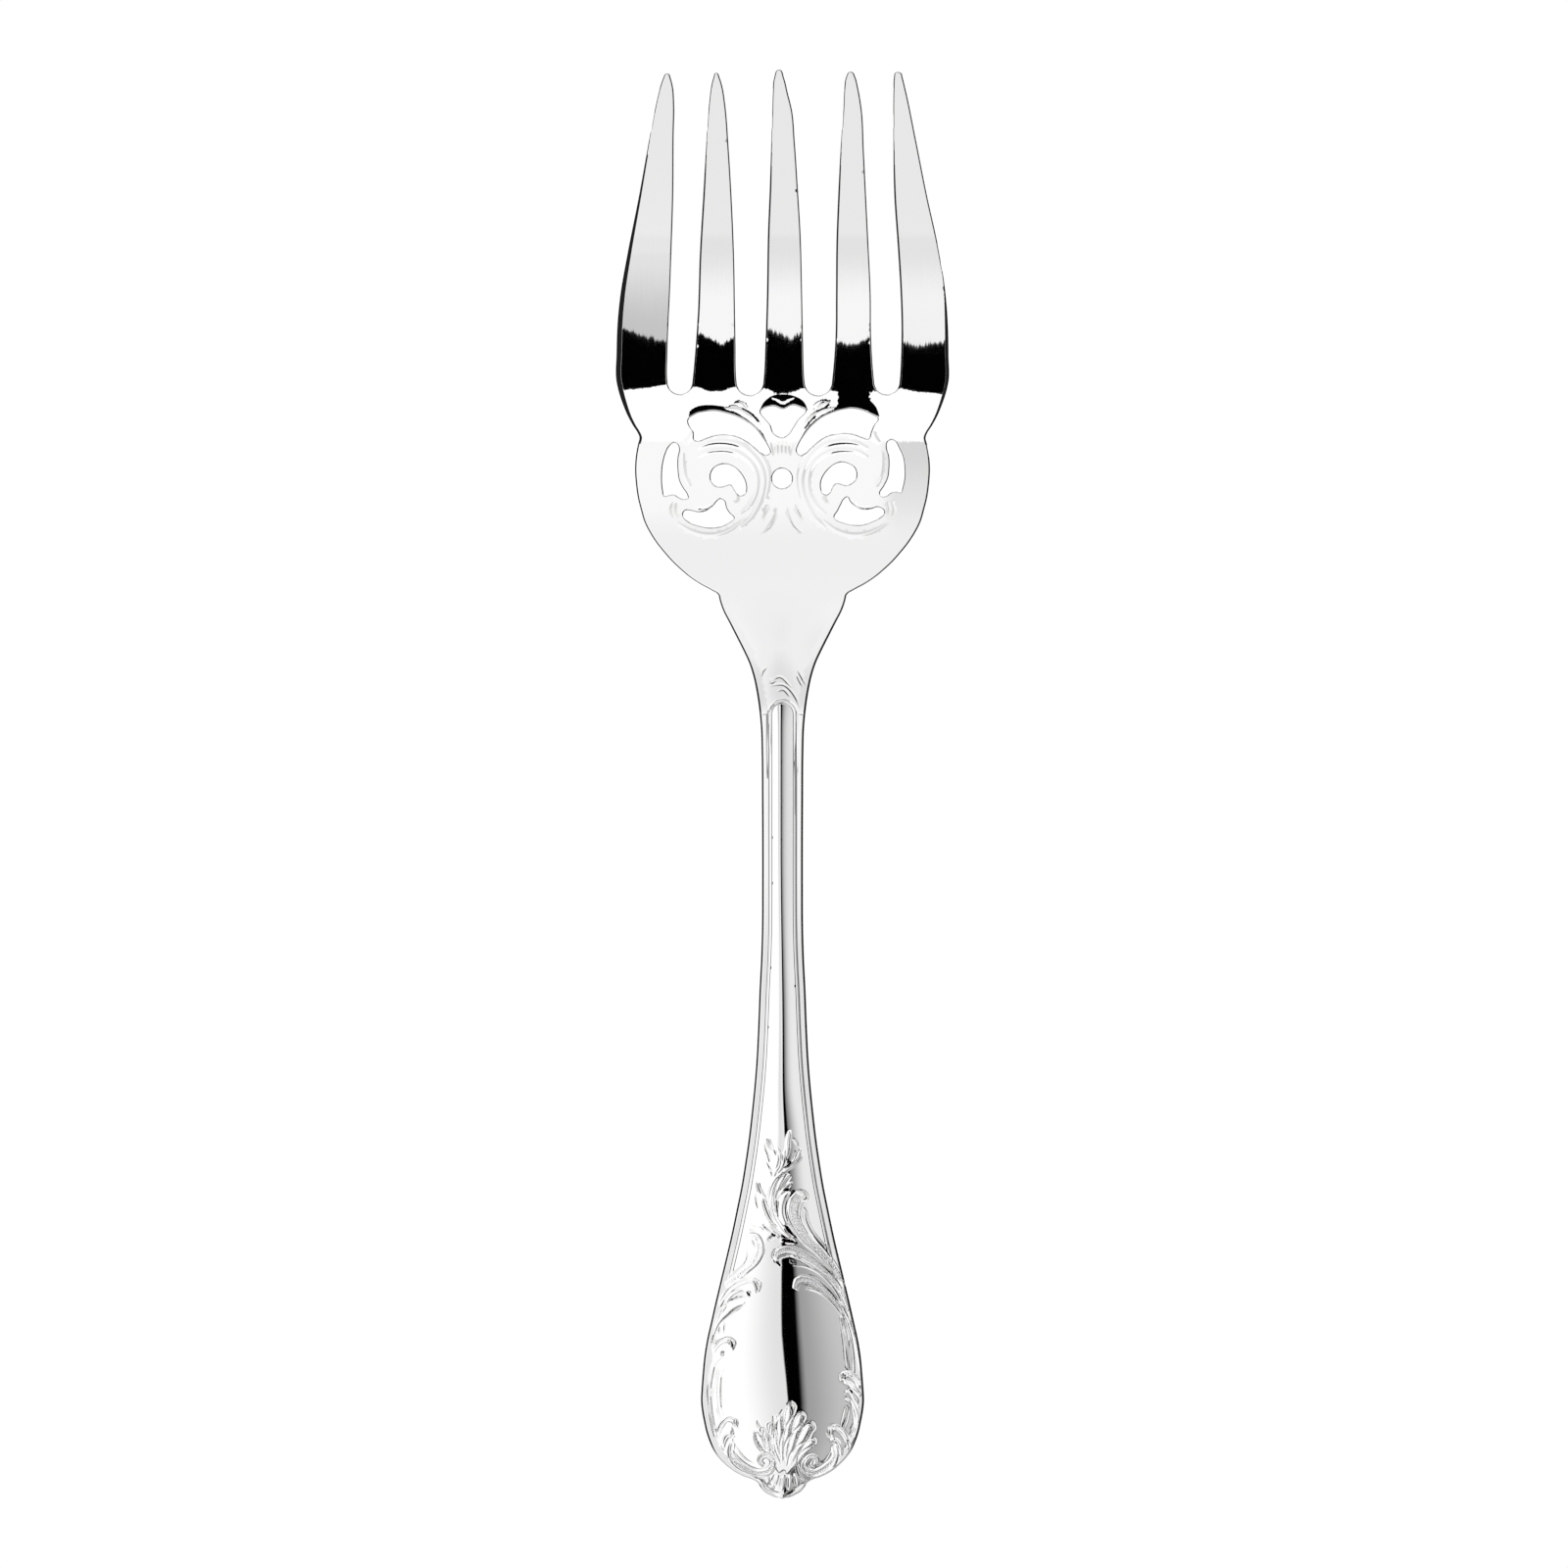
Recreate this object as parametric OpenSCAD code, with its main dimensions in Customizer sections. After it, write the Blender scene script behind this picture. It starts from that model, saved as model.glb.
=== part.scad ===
// Serving fork for fish: five pointed tines, a pierced head and an arched handle with chased
// scrollwork, all in one piece of metal. It lies on its back as it would on a table.
//
// Frame: millimetres, +Y to the tips of the tines, +X to the right, +Z up. The origin is under
// the middle of the fork's length and width, on the table.
//
// Everything seen from above is drawn on one ruled sheet, x to the right and y down it, in squares
// of about a sixth of a millimetre. at() takes a point of the sheet to the metal, so a wider head
// or a longer handle carries its own piercing and ornament with it.

/* [Plan] */
// Length from the tips of the tines to the end of the handle
length = 245; // [200:1:295]
// Width of the head at its widest, across the roots of the tines
head_w = 57; // [47:0.5:68]
// Width of the stem at its narrowest
stem_w = 7; // [5.6:0.1:8.6]
// Width of the handle at its widest, across the cartouche
handle_w = 28; // [23:0.5:34]

/* [Side view] */
// Height of the arch under the stem
arch_h = 12.5; // [9:0.5:16]
// Height of the underside of the tines at their tips
tip_lift = 8; // [5:0.5:11]

/* [Metal] */
// Thickness of the tines at their tips
tip_t = 1.4; // [1.1:0.1:1.8]
// Thickness of the pierced head
head_t = 2; // [1.6:0.1:2.5]
// Thickness of the stem
stem_t = 3.8; // [3:0.1:4.6]
// Thickness of the handle at its end, along the rim
end_t = 2.2; // [1.8:0.1:2.8]
// How far the edges are broken
bevel = 0.4; // [0.3:0.05:0.5]
// Crown of the handle, as a share of half its width
crown = 0.14; // [0.1:0.01:0.18]

/* [Ornament] */
// Height of the boldest scrolls above the metal
relief = 0.6; // [0.45:0.05:0.75]
// Depth of the two grooves that draw the threads along the handle's edges
groove = 0.28; // [0.2:0.02:0.36]

/* [Hidden] */
silver = [0.86, 0.86, 0.87];

// The sheet: its centre line, the ends of the fork on it and the squares each width is drawn over.
axis_x = 798.5;
tips_y = 72;
end_y = 1530;
root_y = 389;
head_squares = 339;
stem_squares = 42;
handle_squares = 166;

function mix(a, b, t) = a + (b - a) * t;
function ease(t) = let (u = min(max(t, 0), 1)) u * u * (3 - 2 * u);
function between(y, y0, y1) = ease((y - y0) / (y1 - y0));

// Millimetres to a square, along the fork and, by the place along it, across.
along = length / (end_y - tips_y);
function across(y) =
    y < 760 ? mix(head_w / head_squares, stem_w / stem_squares, between(y, 600, 740))
            : mix(stem_w / stem_squares, handle_w / handle_squares, between(y, 980, 1240));
function at(p) = [(p.x - axis_x) * across(p.y), ((tips_y + end_y) / 2 - p.y) * along];

// Half the width of the head, neck, stem and handle down the sheet, from the roots of the tines.
rim = [
    [389, 169.5], [400, 167], [412, 163], [424, 158], [434, 152.5], [441, 148], [446, 146],
    [453, 147.5], [464, 149.5], [478, 150.5], [494, 149.5], [508, 147.5], [520, 144.5], [532, 141],
    [544, 135], [554, 128.5], [564, 120.5], [573, 112.5], [581, 104], [589, 94.5], [596, 84],
    [602, 73], [607, 65.5], [613, 64], [622, 61], [636, 54], [650, 47], [664, 40], [676, 34.5],
    [690, 30], [704, 27], [720, 24.5], [742, 22.3], [770, 21.5], [815, 21.2], [860, 21], [905, 21],
    [945, 21.2], [975, 22], [1010, 23.7], [1050, 25.2], [1085, 27], [1110, 29], [1135, 31.5],
    [1160, 34.3], [1185, 37.8], [1210, 41.8], [1235, 46.8], [1260, 52], [1285, 57.8], [1308, 63.3],
    [1330, 68.5], [1350, 73], [1368, 77], [1385, 79.7], [1402, 81.3], [1418, 82.5], [1430, 83],
    [1440, 82], [1451, 80], [1461, 77.8], [1471, 74.5], [1480, 70.5], [1487, 66], [1494, 59.5],
    [1500, 52.5], [1504, 46.5], [1508, 38], [1511, 29.5], [1514, 25], [1519, 22], [1523, 18.5],
    [1526, 13.5], [1528, 9], [1530, 3]
];
function half(y) = lookup(y, rim) * across(y);

// Each tine down the sheet: y, its left edge and its right edge, from the tip to the root.
tines = [
    [[76, 679, 683], [80, 677, 684.5], [90, 673.5, 687], [104, 670, 688], [140, 663, 687.5],
     [200, 652, 687], [260, 640, 685], [300, 633, 683.5], [330, 630, 682], [360, 629, 681],
     [389, 629, 681]],
    [[75, 730, 732], [80, 728, 734.5], [90, 725.5, 737.5], [106, 723.5, 740], [150, 720.5, 743.5],
     [200, 717.5, 746.5], [260, 714, 749], [320, 712, 750], [350, 710, 750.5], [389, 706.5, 751.5]],
    [[72, 793.5, 796.5], [80, 790, 800], [96, 788.5, 804], [112, 788, 808], [145, 787, 811],
     [190, 785.5, 814], [240, 783.5, 817], [300, 782.5, 818.5], [350, 781, 819.5],
     [389, 779, 821]],
    [[74, 866.5, 869.5], [80, 863, 873], [90, 861.5, 875.5], [110, 860.5, 879], [155, 857.5, 881.5],
     [205, 855, 884], [245, 853.5, 886], [300, 853, 888.5], [345, 852.5, 889], [389, 849, 892]],
    [[75, 913, 919.5], [80, 912, 921], [92, 911.5, 924], [140, 911.5, 934], [200, 912.5, 946],
     [250, 916, 957], [300, 919, 965], [335, 920, 967.5], [362, 919.5, 968], [389, 918, 968]]
];

// The metal from the side: on the table at the very end of the handle and at the roots of the
// tines, arched between the two, and with the tines curling up. The handle meets the table at a
// small slope, and the head lies flat on it.
arch_y = 770;
function under(y) =
    let (rise = (end_y - y) / (end_y - arch_y), dip = (y - root_y) / (arch_y - root_y))
    y > arch_y ? arch_h * mix(ease(rise), sin(90 * rise), 0.5) :
    y > root_y ? arch_h * ease(dip) :
    tip_lift * pow((root_y - y) / (root_y - tips_y), 2);
function thick(y) =
    y < root_y ? mix(tip_t, head_t, (y - tips_y) / (root_y - tips_y)) :
    y < arch_y ? mix(head_t, stem_t, between(y, 520, 740)) :
    mix(stem_t, end_t, between(y, 950, 1400));
function edge_z(y) = under(y) + thick(y);

// Inside the rim and its thread lies the crowned field, flat on the head and rounder to the stem.
thread_in = 1.8;
function field(y) = max(half(y) - thread_in, 0.35 * half(y));
function crown_h(y) = crown * field(y) * between(y, 600, 745);
function top_z(x, y) = edge_z(y) + crown_h(y) * max(0, 1 - pow(x / field(y), 2));

// A closed skin over rows of points that all have the same number of points, to the hundredth.
function snap(p) = [for (c = p) round(c * 100) / 100];
module loft(rows) {
    n = len(rows[0]);
    last = len(rows) - 1;
    polyhedron(
        points = [for (row = rows, p = row) snap(p)],
        faces = [
            [for (j = [n - 1:-1:0]) j],
            [for (j = [0:n - 1]) last * n + j],
            for (i = [0:last - 1], j = [0:n - 1])
                let (a = i * n + j, b = i * n + (j + 1) % n)
                each [[a, b, b + n], [a, b + n, a + n]]
        ],
        convexity = 8
    );
}

// Right half of a cross-section, from the underside up over the rim to the middle. Only the
// handle spreads all its points: the head has no threads or crown, and the handle's end no threads.
function half_section(y) =
    let (
        w = half(y),
        b = min(bevel, 0.2 * w),
        t = thick(y),
        f = y < 600 ? w - b : field(y),
        g = groove * between(y, 716, 742) * (1 - between(y, 1270, 1310)),
        s = y < 600 || y > 1310 ? 0 : (w - b - f) / (thread_in - bevel),
        h = crown_h(y)
    )
    [
        [w - b, 0], [w, b], [w, t - b], [w - b, t],
        [w - b - 0.45 * s, t], [w - b - 0.7 * s, t - g],
        [w - b - 0.95 * s, t - 0.1 * g], [w - b - 1.2 * s, t - g], [f, t],
        [y < 600 ? f : 0.7 * f, t + 0.51 * h], [y < 600 ? 0 : 0.36 * f, t + 0.87 * h], [0, t + h]
    ];
function section(y) =
    let (r = half_section(y), z = under(y), n = len(r), v = at([0, y]).y)
    [
        for (p = r) [p.x, v, z + p.y],
        for (i = [n - 2:-1:0]) [-r[i].x, v, z + r[i].y]
    ];

// The rows stand a little off the drawn points, so that none runs through a corner of a hole.
module body() {
    loft([
        section(end_y),
        for (i = [len(rim) - 2:-1:1]) section(rim[i][0] + 0.3),
        section(root_y)
    ]);
}

// One tine: eight-sided sections, flat on top, with all four long edges broken.
function tine_section(y, xl, xr) =
    let (l = at([xl, y]), r = at([xr, y]), w = r.x - l.x, b = min(bevel, 0.3 * w), z = under(y))
    [
        [l.x + b, l.y, z], [r.x - b, l.y, z],
        [r.x, l.y, z + b], [r.x, l.y, z + thick(y) - b],
        [r.x - b, l.y, z + thick(y)], [l.x + b, l.y, z + thick(y)],
        [l.x, l.y, z + thick(y) - b], [l.x, l.y, z + b]
    ];
module tine(edges) {
    loft([
        for (i = [len(edges) - 1:-1:0]) tine_section(edges[i][0], edges[i][1], edges[i][2])
    ]);
}

// The round root of the gap between two tines.
module root(left, right) {
    a = at([left[len(left) - 1][2], root_y]);
    b = at([right[len(right) - 1][1], root_y]);
    translate([(a.x + b.x) / 2, a.y, -1])
        cylinder(r = (b.x - a.x) / 2 - 0.03, h = head_t + 2, $fn = 32);
}

// Piercing, drawn hole by hole: the two crescents, heart, eye, kidneys, side slots and leaves.
holes = [
    [[702, 429], [710, 422], [720, 419.5], [730, 419], [740, 421], [750, 424], [760, 429],
     [770, 436], [778, 446], [784, 456], [786, 461], [782, 464], [777, 462], [770, 456],
     [762, 450], [752, 445], [742, 443], [731, 443.5], [720, 447], [713, 449.5], [709, 449],
     [707.5, 440], [704, 435]],
    [[896, 427], [888, 422], [880, 418.5], [870, 416.5], [860, 417.5], [850, 420.5], [840, 425],
     [832, 431], [825, 438], [819, 446], [815, 453], [813, 460], [816, 464], [822, 462],
     [828, 456], [835, 450], [843, 445], [852, 442.5], [862, 441.5], [872, 443], [880, 446],
     [886, 447.5], [889, 440], [892, 433]],
    [[776, 419], [780, 416], [789, 414], [799, 417], [809, 413], [816, 415], [822, 418],
     [814, 428], [809, 436], [804, 443], [799, 446], [794, 445], [789, 441], [786, 433],
     [781, 427]],
    [[725, 486], [728, 478], [735, 474], [742, 473.5], [750, 477], [756, 483], [760, 490],
     [761.5, 498], [760.5, 503], [757, 505.5], [753, 504.5], [750, 500], [745, 494], [741, 495],
     [736, 496.5], [730, 495.5], [726, 491]],
    [[874, 484], [872, 477], [866, 473], [860, 471.5], [853, 473], [846, 478], [841, 484],
     [838, 491], [838, 499], [840, 503.5], [844, 504.5], [847, 502], [849, 497], [853, 493],
     [858, 493.5], [863, 495], [869, 493], [873, 489]],
    [[688, 451.5], [692, 454], [693, 458], [691.5, 466], [691.5, 480], [693, 490], [697, 498],
     [701, 504], [702, 508], [697, 509], [692, 507], [688, 504.5], [683, 505], [678, 506],
     [676.5, 500], [675.5, 486], [676.5, 473], [679, 463], [683, 455]],
    [[910, 448.5], [905.5, 451], [905, 457], [907, 464], [907.5, 478], [906, 488], [902, 496],
     [898, 504], [900, 506.5], [905, 505.5], [910, 502], [915, 501.5], [919, 502.5], [921, 497],
     [923, 487], [923, 477], [921.5, 466], [917, 456], [914, 450.5]],
    [[697, 524], [699, 521], [705, 521], [712, 522.5], [720, 521.5], [727, 517], [732, 511],
     [735, 509], [739, 511], [741, 518], [744, 523], [749, 528.5], [744, 533], [736, 537],
     [725, 538.5], [713, 536.5], [703, 532.5], [698, 528]],
    [[902, 521], [897, 517.5], [888, 519.5], [880, 520], [873, 517], [867, 511], [865, 507],
     [861, 509.5], [858, 515], [855, 521], [851.5, 528], [853, 530], [860, 533], [870, 535.5],
     [880, 535.5], [890, 532], [898, 528], [902, 524]]
];
eye = [798, 488];
eye_squares = 10.2;

module piercing() {
    z = under(600) + head_t + relief + 1;
    for (hole = holes)
        translate([0, 0, -1])
            linear_extrude(z + 1)
                polygon([for (p = hole) at(p)]);
    translate([at(eye).x, at(eye).y, -1])
        cylinder(r = eye_squares * across(eye.y), h = z + 1, $fn = 28);
}

// A smooth line through drawn points, n steps to each.
function bend(a, b, c, d, t) =
    (2 * b + (c - a) * t + (2 * a - 5 * b + 4 * c - d) * t * t + (3 * b - a - 3 * c + d) * t * t * t)
    / 2;
function curve(p, n) = [
    for (i = [0:len(p) - 2], k = [0:n - 1])
        bend(p[max(i - 1, 0)], p[i], p[i + 1], p[min(i + 2, len(p) - 1)], k / n),
    p[len(p) - 1]
];

// A chased ridge along a drawn line: w squares to each side and high, as a share of the relief.
// It swells from a fine start, is full at the middle and dies away at its end.
module ridge(w, high, line) {
    path = curve(line, len(line) > 6 ? 1 : 2);
    last = len(path) - 1;
    loft([
        for (i = [0:last])
            let (
                swell = 0.25 + 0.75 * pow(sin(180 * (i + 0.4) / (last + 0.8)), 0.6),
                d = path[min(i + 1, last)] - path[max(i - 1, 0)],
                side = [d.y, -d.x] / norm(d) * w * swell,
                h = high * relief * swell
            )
            [
                for (k = w < 2 ? [[-1, -0.3], [0, h], [1, -0.3]]
                               : [[-1, -0.3], [-0.45, h], [0.45, h], [1, -0.3]])
                    let (p = path[i] + side * k[0], q = at(p))
                    [q.x, q.y, top_z(q.x, p.y) + k[1]]
            ]
    ]);
}

// A leaf or scroll between two drawn edges, raised along both.
module leaf(high_right, high_left, right, left) {
    last = len(right) - 1;
    loft([
        for (i = [0:last])
            let (
                swell = 0.4 + 0.6 * sin(180 * (i + 0.5) / (last + 1)),
                in_right = mix(right[i], left[i], 0.2),
                in_left = mix(right[i], left[i], 0.8)
            )
            [
                for (k = [[right[i], -0.3], [in_right, high_right * relief * swell],
                          [in_left, high_left * relief * swell], [left[i], -0.3]])
                    let (q = at(k[0]))
                    [q.x, q.y, top_z(q.x, k[0].y) + k[1]]
            ]
    ]);
}

// A shell's lobe: broad and high at its outer end, drawn in to its foot.
module lobe(foot, tip, w) {
    hull() {
        for (k = [[foot, 0.35], [mix(foot, tip, 0.75), 0.9], [tip, 0.45]])
            let (q = at(k[0]))
            translate([q.x, q.y, top_z(q.x, k[0].y) - 0.2])
                scale([1, 1, 0.9 * relief / (w * along)])
                    sphere(r = w * along * k[1], $fn = 8);
    }
}

// Lines of the handle: half-width in squares, share of the relief, line.
handle_lines = [
    [2.8, 0.8, [[806, 1153], [804, 1163], [803, 1173], [799, 1185], [793, 1197]]],
    [2.2, 0.6, [[794, 1172], [795, 1180], [793, 1190], [789, 1201]]],
    [2.6, 0.7, [[817, 1173], [814, 1181], [806, 1189], [797, 1197]]],
    [1.8, 0.6, [[784, 1161], [787, 1170], [791, 1178]]],
    [1.5, 0.5, [[781, 1184], [785, 1192], [787, 1200]]],
    [3, 0.9, [[793, 1194], [788, 1207], [785, 1222], [787, 1238], [793, 1250], [801, 1261]]],
    [1.9, 0.7, [[806, 1195], [799, 1202], [793, 1212]]],
    [1.9, 0.7, [[809, 1204], [801, 1210], [794, 1219]]],
    [4, 1, [[803, 1213], [796, 1222], [794, 1233], [797, 1246]]],
    [2, 0.6, [[773, 1204], [775, 1214], [780, 1222], [783, 1236], [789, 1248]]],
    [1.5, 0.5, [[770, 1215], [772, 1225], [776, 1234]]],
    [1.5, 0.5, [[765, 1248], [771, 1251], [778, 1255]]],
    [1.9, 0.6, [[780, 1248], [786, 1254], [792, 1261]]],
    [2.4, 0.7, [[760, 1330], [745, 1340], [733, 1351], [727, 1366]]],
    [2.4, 0.8, [[738, 1379], [735, 1386], [728, 1395], [724, 1408], [722, 1425], [724, 1445],
                [729, 1467]]],
    [1.6, 0.5, [[731, 1392], [730, 1410], [731, 1430], [735, 1450]]],
    [1.6, 0.5, [[736, 1388], [736, 1405], [737, 1425], [739, 1447]]],
    [2.2, 0.7, [[750, 1465], [743, 1463], [737, 1469], [734, 1478]]],
    [1.6, 0.5, [[856, 1345], [860, 1362], [862, 1380], [864, 1397]]],
    [1.9, 0.6, [[861, 1343], [866, 1362], [869, 1382], [872, 1402]]],
    [2.2, 0.7, [[864, 1342], [871, 1358], [875, 1378], [878, 1400]]],
    [2, 0.7, [[861, 1414], [866, 1410], [873, 1416], [878, 1424]]],
    [2, 0.7, [[860, 1424], [865, 1421], [872, 1427], [876, 1436]]],
    [2.4, 0.8, [[863, 1428], [868, 1430], [873, 1440], [875, 1455], [872, 1470], [866, 1481]]],
    [1.6, 0.5, [[863, 1436], [861, 1448], [858, 1458]]],
    [2.2, 0.7, [[846, 1472], [852, 1468], [858, 1473], [861, 1481]]],
    [2, 0.6, [[791, 1504], [785, 1512], [779, 1517]]],
    [2, 0.6, [[796, 1505], [793, 1514], [790, 1522]]],
    [2, 0.6, [[801, 1505], [801, 1515], [800, 1525]]],
    [2, 0.6, [[807, 1504], [810, 1512], [811, 1520]]]
];

// Leaves and scrolls: share of the relief at the right and left edge, then those two edges, as
// seen walking from the curl to the tip.
leaves = [
    [1, 0.6, [[818, 1216], [809, 1216], [803, 1227], [803, 1242], [809, 1256], [822, 1270],
              [838, 1286], [851, 1302], [860, 1315]],
             [[822, 1222], [820, 1226], [819, 1234], [820, 1243], [826, 1255], [836, 1268],
              [844, 1279], [851, 1290], [857, 1301]]],
    [0.6, 1, [[794, 1293], [800, 1286], [808, 1284], [818, 1288], [832, 1299], [846, 1311],
              [857, 1323], [865, 1336]],
             [[789, 1286], [793, 1275], [804, 1270], [816, 1274], [832, 1287], [848, 1301],
              [857, 1313], [864, 1327]]],
    [0.6, 1, [[813, 1318], [812, 1312], [817, 1311], [827, 1313], [840, 1320], [853, 1331],
              [864, 1347]],
             [[810, 1319], [807, 1310], [812, 1303], [824, 1302], [840, 1312], [855, 1327],
              [867, 1346]]],
    [0.6, 1, [[767, 1272], [766, 1267], [769, 1266], [772, 1277], [768, 1288], [757, 1299],
              [741, 1308]],
             [[762, 1266], [765, 1258], [774, 1259], [781, 1274], [777, 1289], [762, 1302],
              [742, 1315]]],
    [1, 0.6, [[771, 1321], [775, 1312], [766, 1303], [752, 1307], [740, 1319], [731, 1334]],
             [[767, 1315], [768, 1310], [762, 1311], [752, 1315], [743, 1325], [735, 1338]]],
    [0.9, 0.5, [[764, 1324], [763, 1317], [752, 1320], [742, 1329], [734, 1341], [729, 1356]],
               [[758, 1325], [756, 1322], [750, 1326], [743, 1336], [737, 1347], [732, 1360]]],
    [1, 0.6, [[749, 1379], [751, 1370], [744, 1363], [735, 1366], [726, 1377]],
             [[744, 1377], [745, 1371], [741, 1370], [734, 1374], [727, 1386]]],
    [1, 0.6, [[754, 1457], [755, 1449], [746, 1444], [737, 1449], [730, 1461]],
             [[748, 1456], [748, 1452], [743, 1451], [738, 1456], [732, 1469]]],
    [1, 0.7, [[748, 1469], [742, 1479], [744, 1491], [752, 1501], [765, 1507.5], [779, 1509],
              [789, 1503], [792, 1493], [788, 1485], [780, 1483], [774, 1489], [776, 1497]],
             [[751, 1474], [748, 1481], [750, 1489], [757, 1497], [767, 1501], [778, 1501],
              [784, 1498], [786, 1493], [784, 1489], [780, 1488], [778, 1490], [779, 1494]]],
    [0.7, 1, [[848, 1480], [849, 1486], [848, 1491], [844, 1497], [838, 1500], [830, 1502],
              [826, 1499], [824, 1494], [825, 1490], [829, 1488], [832, 1490], [832, 1494]],
             [[852, 1476], [855, 1484], [855, 1492], [850, 1500], [840, 1506], [829, 1508],
              [821, 1504], [818, 1495], [821, 1486], [829, 1483], [836, 1487], [837, 1495]]],
    [0.6, 1, [[863, 1410], [862, 1406], [865, 1405], [870, 1409], [874, 1418]],
             [[858, 1410], [857, 1403], [863, 1398], [871, 1402], [878, 1411]]],
    [0.6, 1, [[848, 1466], [848, 1462], [852, 1461], [857, 1465], [862, 1474]],
             [[844, 1467], [843, 1459], [850, 1454], [859, 1458], [866, 1468]]]
];
shell_foot = [801, 1506];
lobe_squares = 6.4;
shell_tips = [
    [770, 1461], [776, 1452], [787, 1446], [797, 1440], [808, 1433], [820, 1442], [829, 1455],
    [832, 1470]
];

// Lines of the neck and of the head, the head's drawn for its left half and mirrored.
neck_lines = [
    [1.5, 0.4, [[786, 696], [796, 692], [808, 701]]],
    [1.5, 0.4, [[785, 705], [798, 699], [809, 707], [815, 720]]],
    [1.5, 0.4, [[782, 736], [783, 722], [795, 713], [806, 721], [809, 736]]]
];
head_lines = [
    [2, 0.5, [[714, 489], [718, 473], [729, 464], [744, 462], [758, 468], [767, 480], [771, 494],
              [768, 508]]],
    [2.4, 0.6, [[704, 470], [717, 457], [735, 451], [752, 454], [768, 465], [778, 481],
                [780, 499], [775, 515], [768, 530]]],
    [1.8, 0.4, [[740, 414], [753, 416], [766, 423], [777, 432]]],
    [1.6, 0.4, [[749, 408], [759, 410], [768, 416]]],
    [2, 0.4, [[692, 534], [708, 543], [726, 546], [744, 541], [757, 531]]],
    [1.6, 0.4, [[787, 450], [790, 459], [793, 467]]],
    [1.8, 0.4, [[791, 506], [786, 518], [778, 531]]]
];

module ornament() {
    for (l = concat(handle_lines, neck_lines))
        ridge(l[0], l[1], l[2]);
    for (l = head_lines) {
        ridge(l[0], l[1], l[2]);
        ridge(l[0], l[1], [for (p = l[2]) [2 * axis_x - p.x, p.y]]);
    }
    ridge(2, 0.4, [[798, 506], [798, 520], [798, 536]]);
    ridge(1.6, 0.4, [[788, 406], [799, 410], [810, 406]]);
    for (l = leaves)
        leaf(l[0], l[1], l[2], l[3]);
    for (tip = shell_tips)
        lobe(mix(shell_foot, tip, 0.18), tip, lobe_squares);
}

module fish_server() {
    color(silver)
        difference() {
            union() {
                body();
                for (t = tines)
                    tine(t);
                ornament();
            }
            for (i = [0:len(tines) - 2])
                root(tines[i], tines[i + 1]);
            piercing();
        }
}

fish_server();
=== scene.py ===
"""Looks of a silver serving fork for fish: one mesh of chased metal, its finish, floor and light.

Lengths are millimetres until the mesh is made. Places on the metal are drawn on a ruled sheet, x
to the right and y down it, in squares of about a sixth of a millimetre, and to_metal() takes them
to the fork. Bend and thickness are those of the solid, with leaves and lines chased into it. The
threads are two low steps of the scene's own.

The normals are not all the mesh's own. shading_lean(), calm_share() and the lips and hollows that
are marked level turn them away from it, so that the studio's dark and light fall where they should
from straight above: by one to three degrees in most places, by more than five over a third of the
shell and by about ten at the neck. No height changes with them. Under another light or from
another side they show reflections that the shape alone would not give.
"""

import math

import bpy
import numpy as np
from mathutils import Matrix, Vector
from mathutils.geometry import delaunay_2d_cdt
from mathutils.kdtree import KDTree


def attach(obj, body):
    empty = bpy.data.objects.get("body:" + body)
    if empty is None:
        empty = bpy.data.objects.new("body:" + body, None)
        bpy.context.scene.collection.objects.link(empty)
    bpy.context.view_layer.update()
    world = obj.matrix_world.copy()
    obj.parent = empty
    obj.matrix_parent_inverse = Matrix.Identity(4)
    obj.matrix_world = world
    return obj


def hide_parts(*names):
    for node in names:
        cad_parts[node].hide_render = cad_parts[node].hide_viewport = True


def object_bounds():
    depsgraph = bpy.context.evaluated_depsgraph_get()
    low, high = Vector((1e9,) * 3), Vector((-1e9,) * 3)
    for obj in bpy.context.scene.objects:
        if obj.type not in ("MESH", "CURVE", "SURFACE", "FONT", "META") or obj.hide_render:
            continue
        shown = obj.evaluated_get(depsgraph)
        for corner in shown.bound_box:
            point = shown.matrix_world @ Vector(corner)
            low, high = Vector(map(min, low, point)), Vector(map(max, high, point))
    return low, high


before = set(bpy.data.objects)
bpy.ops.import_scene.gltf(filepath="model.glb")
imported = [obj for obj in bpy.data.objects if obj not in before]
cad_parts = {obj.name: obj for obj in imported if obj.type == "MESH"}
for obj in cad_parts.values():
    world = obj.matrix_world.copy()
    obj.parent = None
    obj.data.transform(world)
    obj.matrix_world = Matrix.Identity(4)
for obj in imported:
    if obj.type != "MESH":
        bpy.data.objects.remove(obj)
cad_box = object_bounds()
MM = 0.001

# Sizes of the fork, the two outer ones from the frame.
LENGTH = (cad_box[1].y - cad_box[0].y) / MM
HEAD_W = (cad_box[1].x - cad_box[0].x) / MM
STEM_W = 7
HANDLE_W = 28
ARCH_H = 12.5
TIP_LIFT = 8
TIP_T, HEAD_T, STEM_T, END_T = 1.4, 2, 3.8, 2.2
CROWN = 0.14
RELIEF = 0.22

# The sheet: its centre line, the places along it and the squares that each width is drawn over.
AXIS_X = 798.5
TIPS_Y, ROOT_Y, ARCH_Y, END_Y = 72, 389, 770, 1530
HEAD_SQUARES, STEM_SQUARES, HANDLE_SQUARES = 339, 42, 166
MID_Y = (TIPS_Y + END_Y) / 2
ALONG = LENGTH / (END_Y - TIPS_Y)


def mix(a, b, t):
    return a + (b - a) * t


def ease(t):
    t = np.clip(t, 0, 1)
    return t * t * (3 - 2 * t)


def between(y, y0, y1):
    return ease((y - y0) / (y1 - y0))


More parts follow.
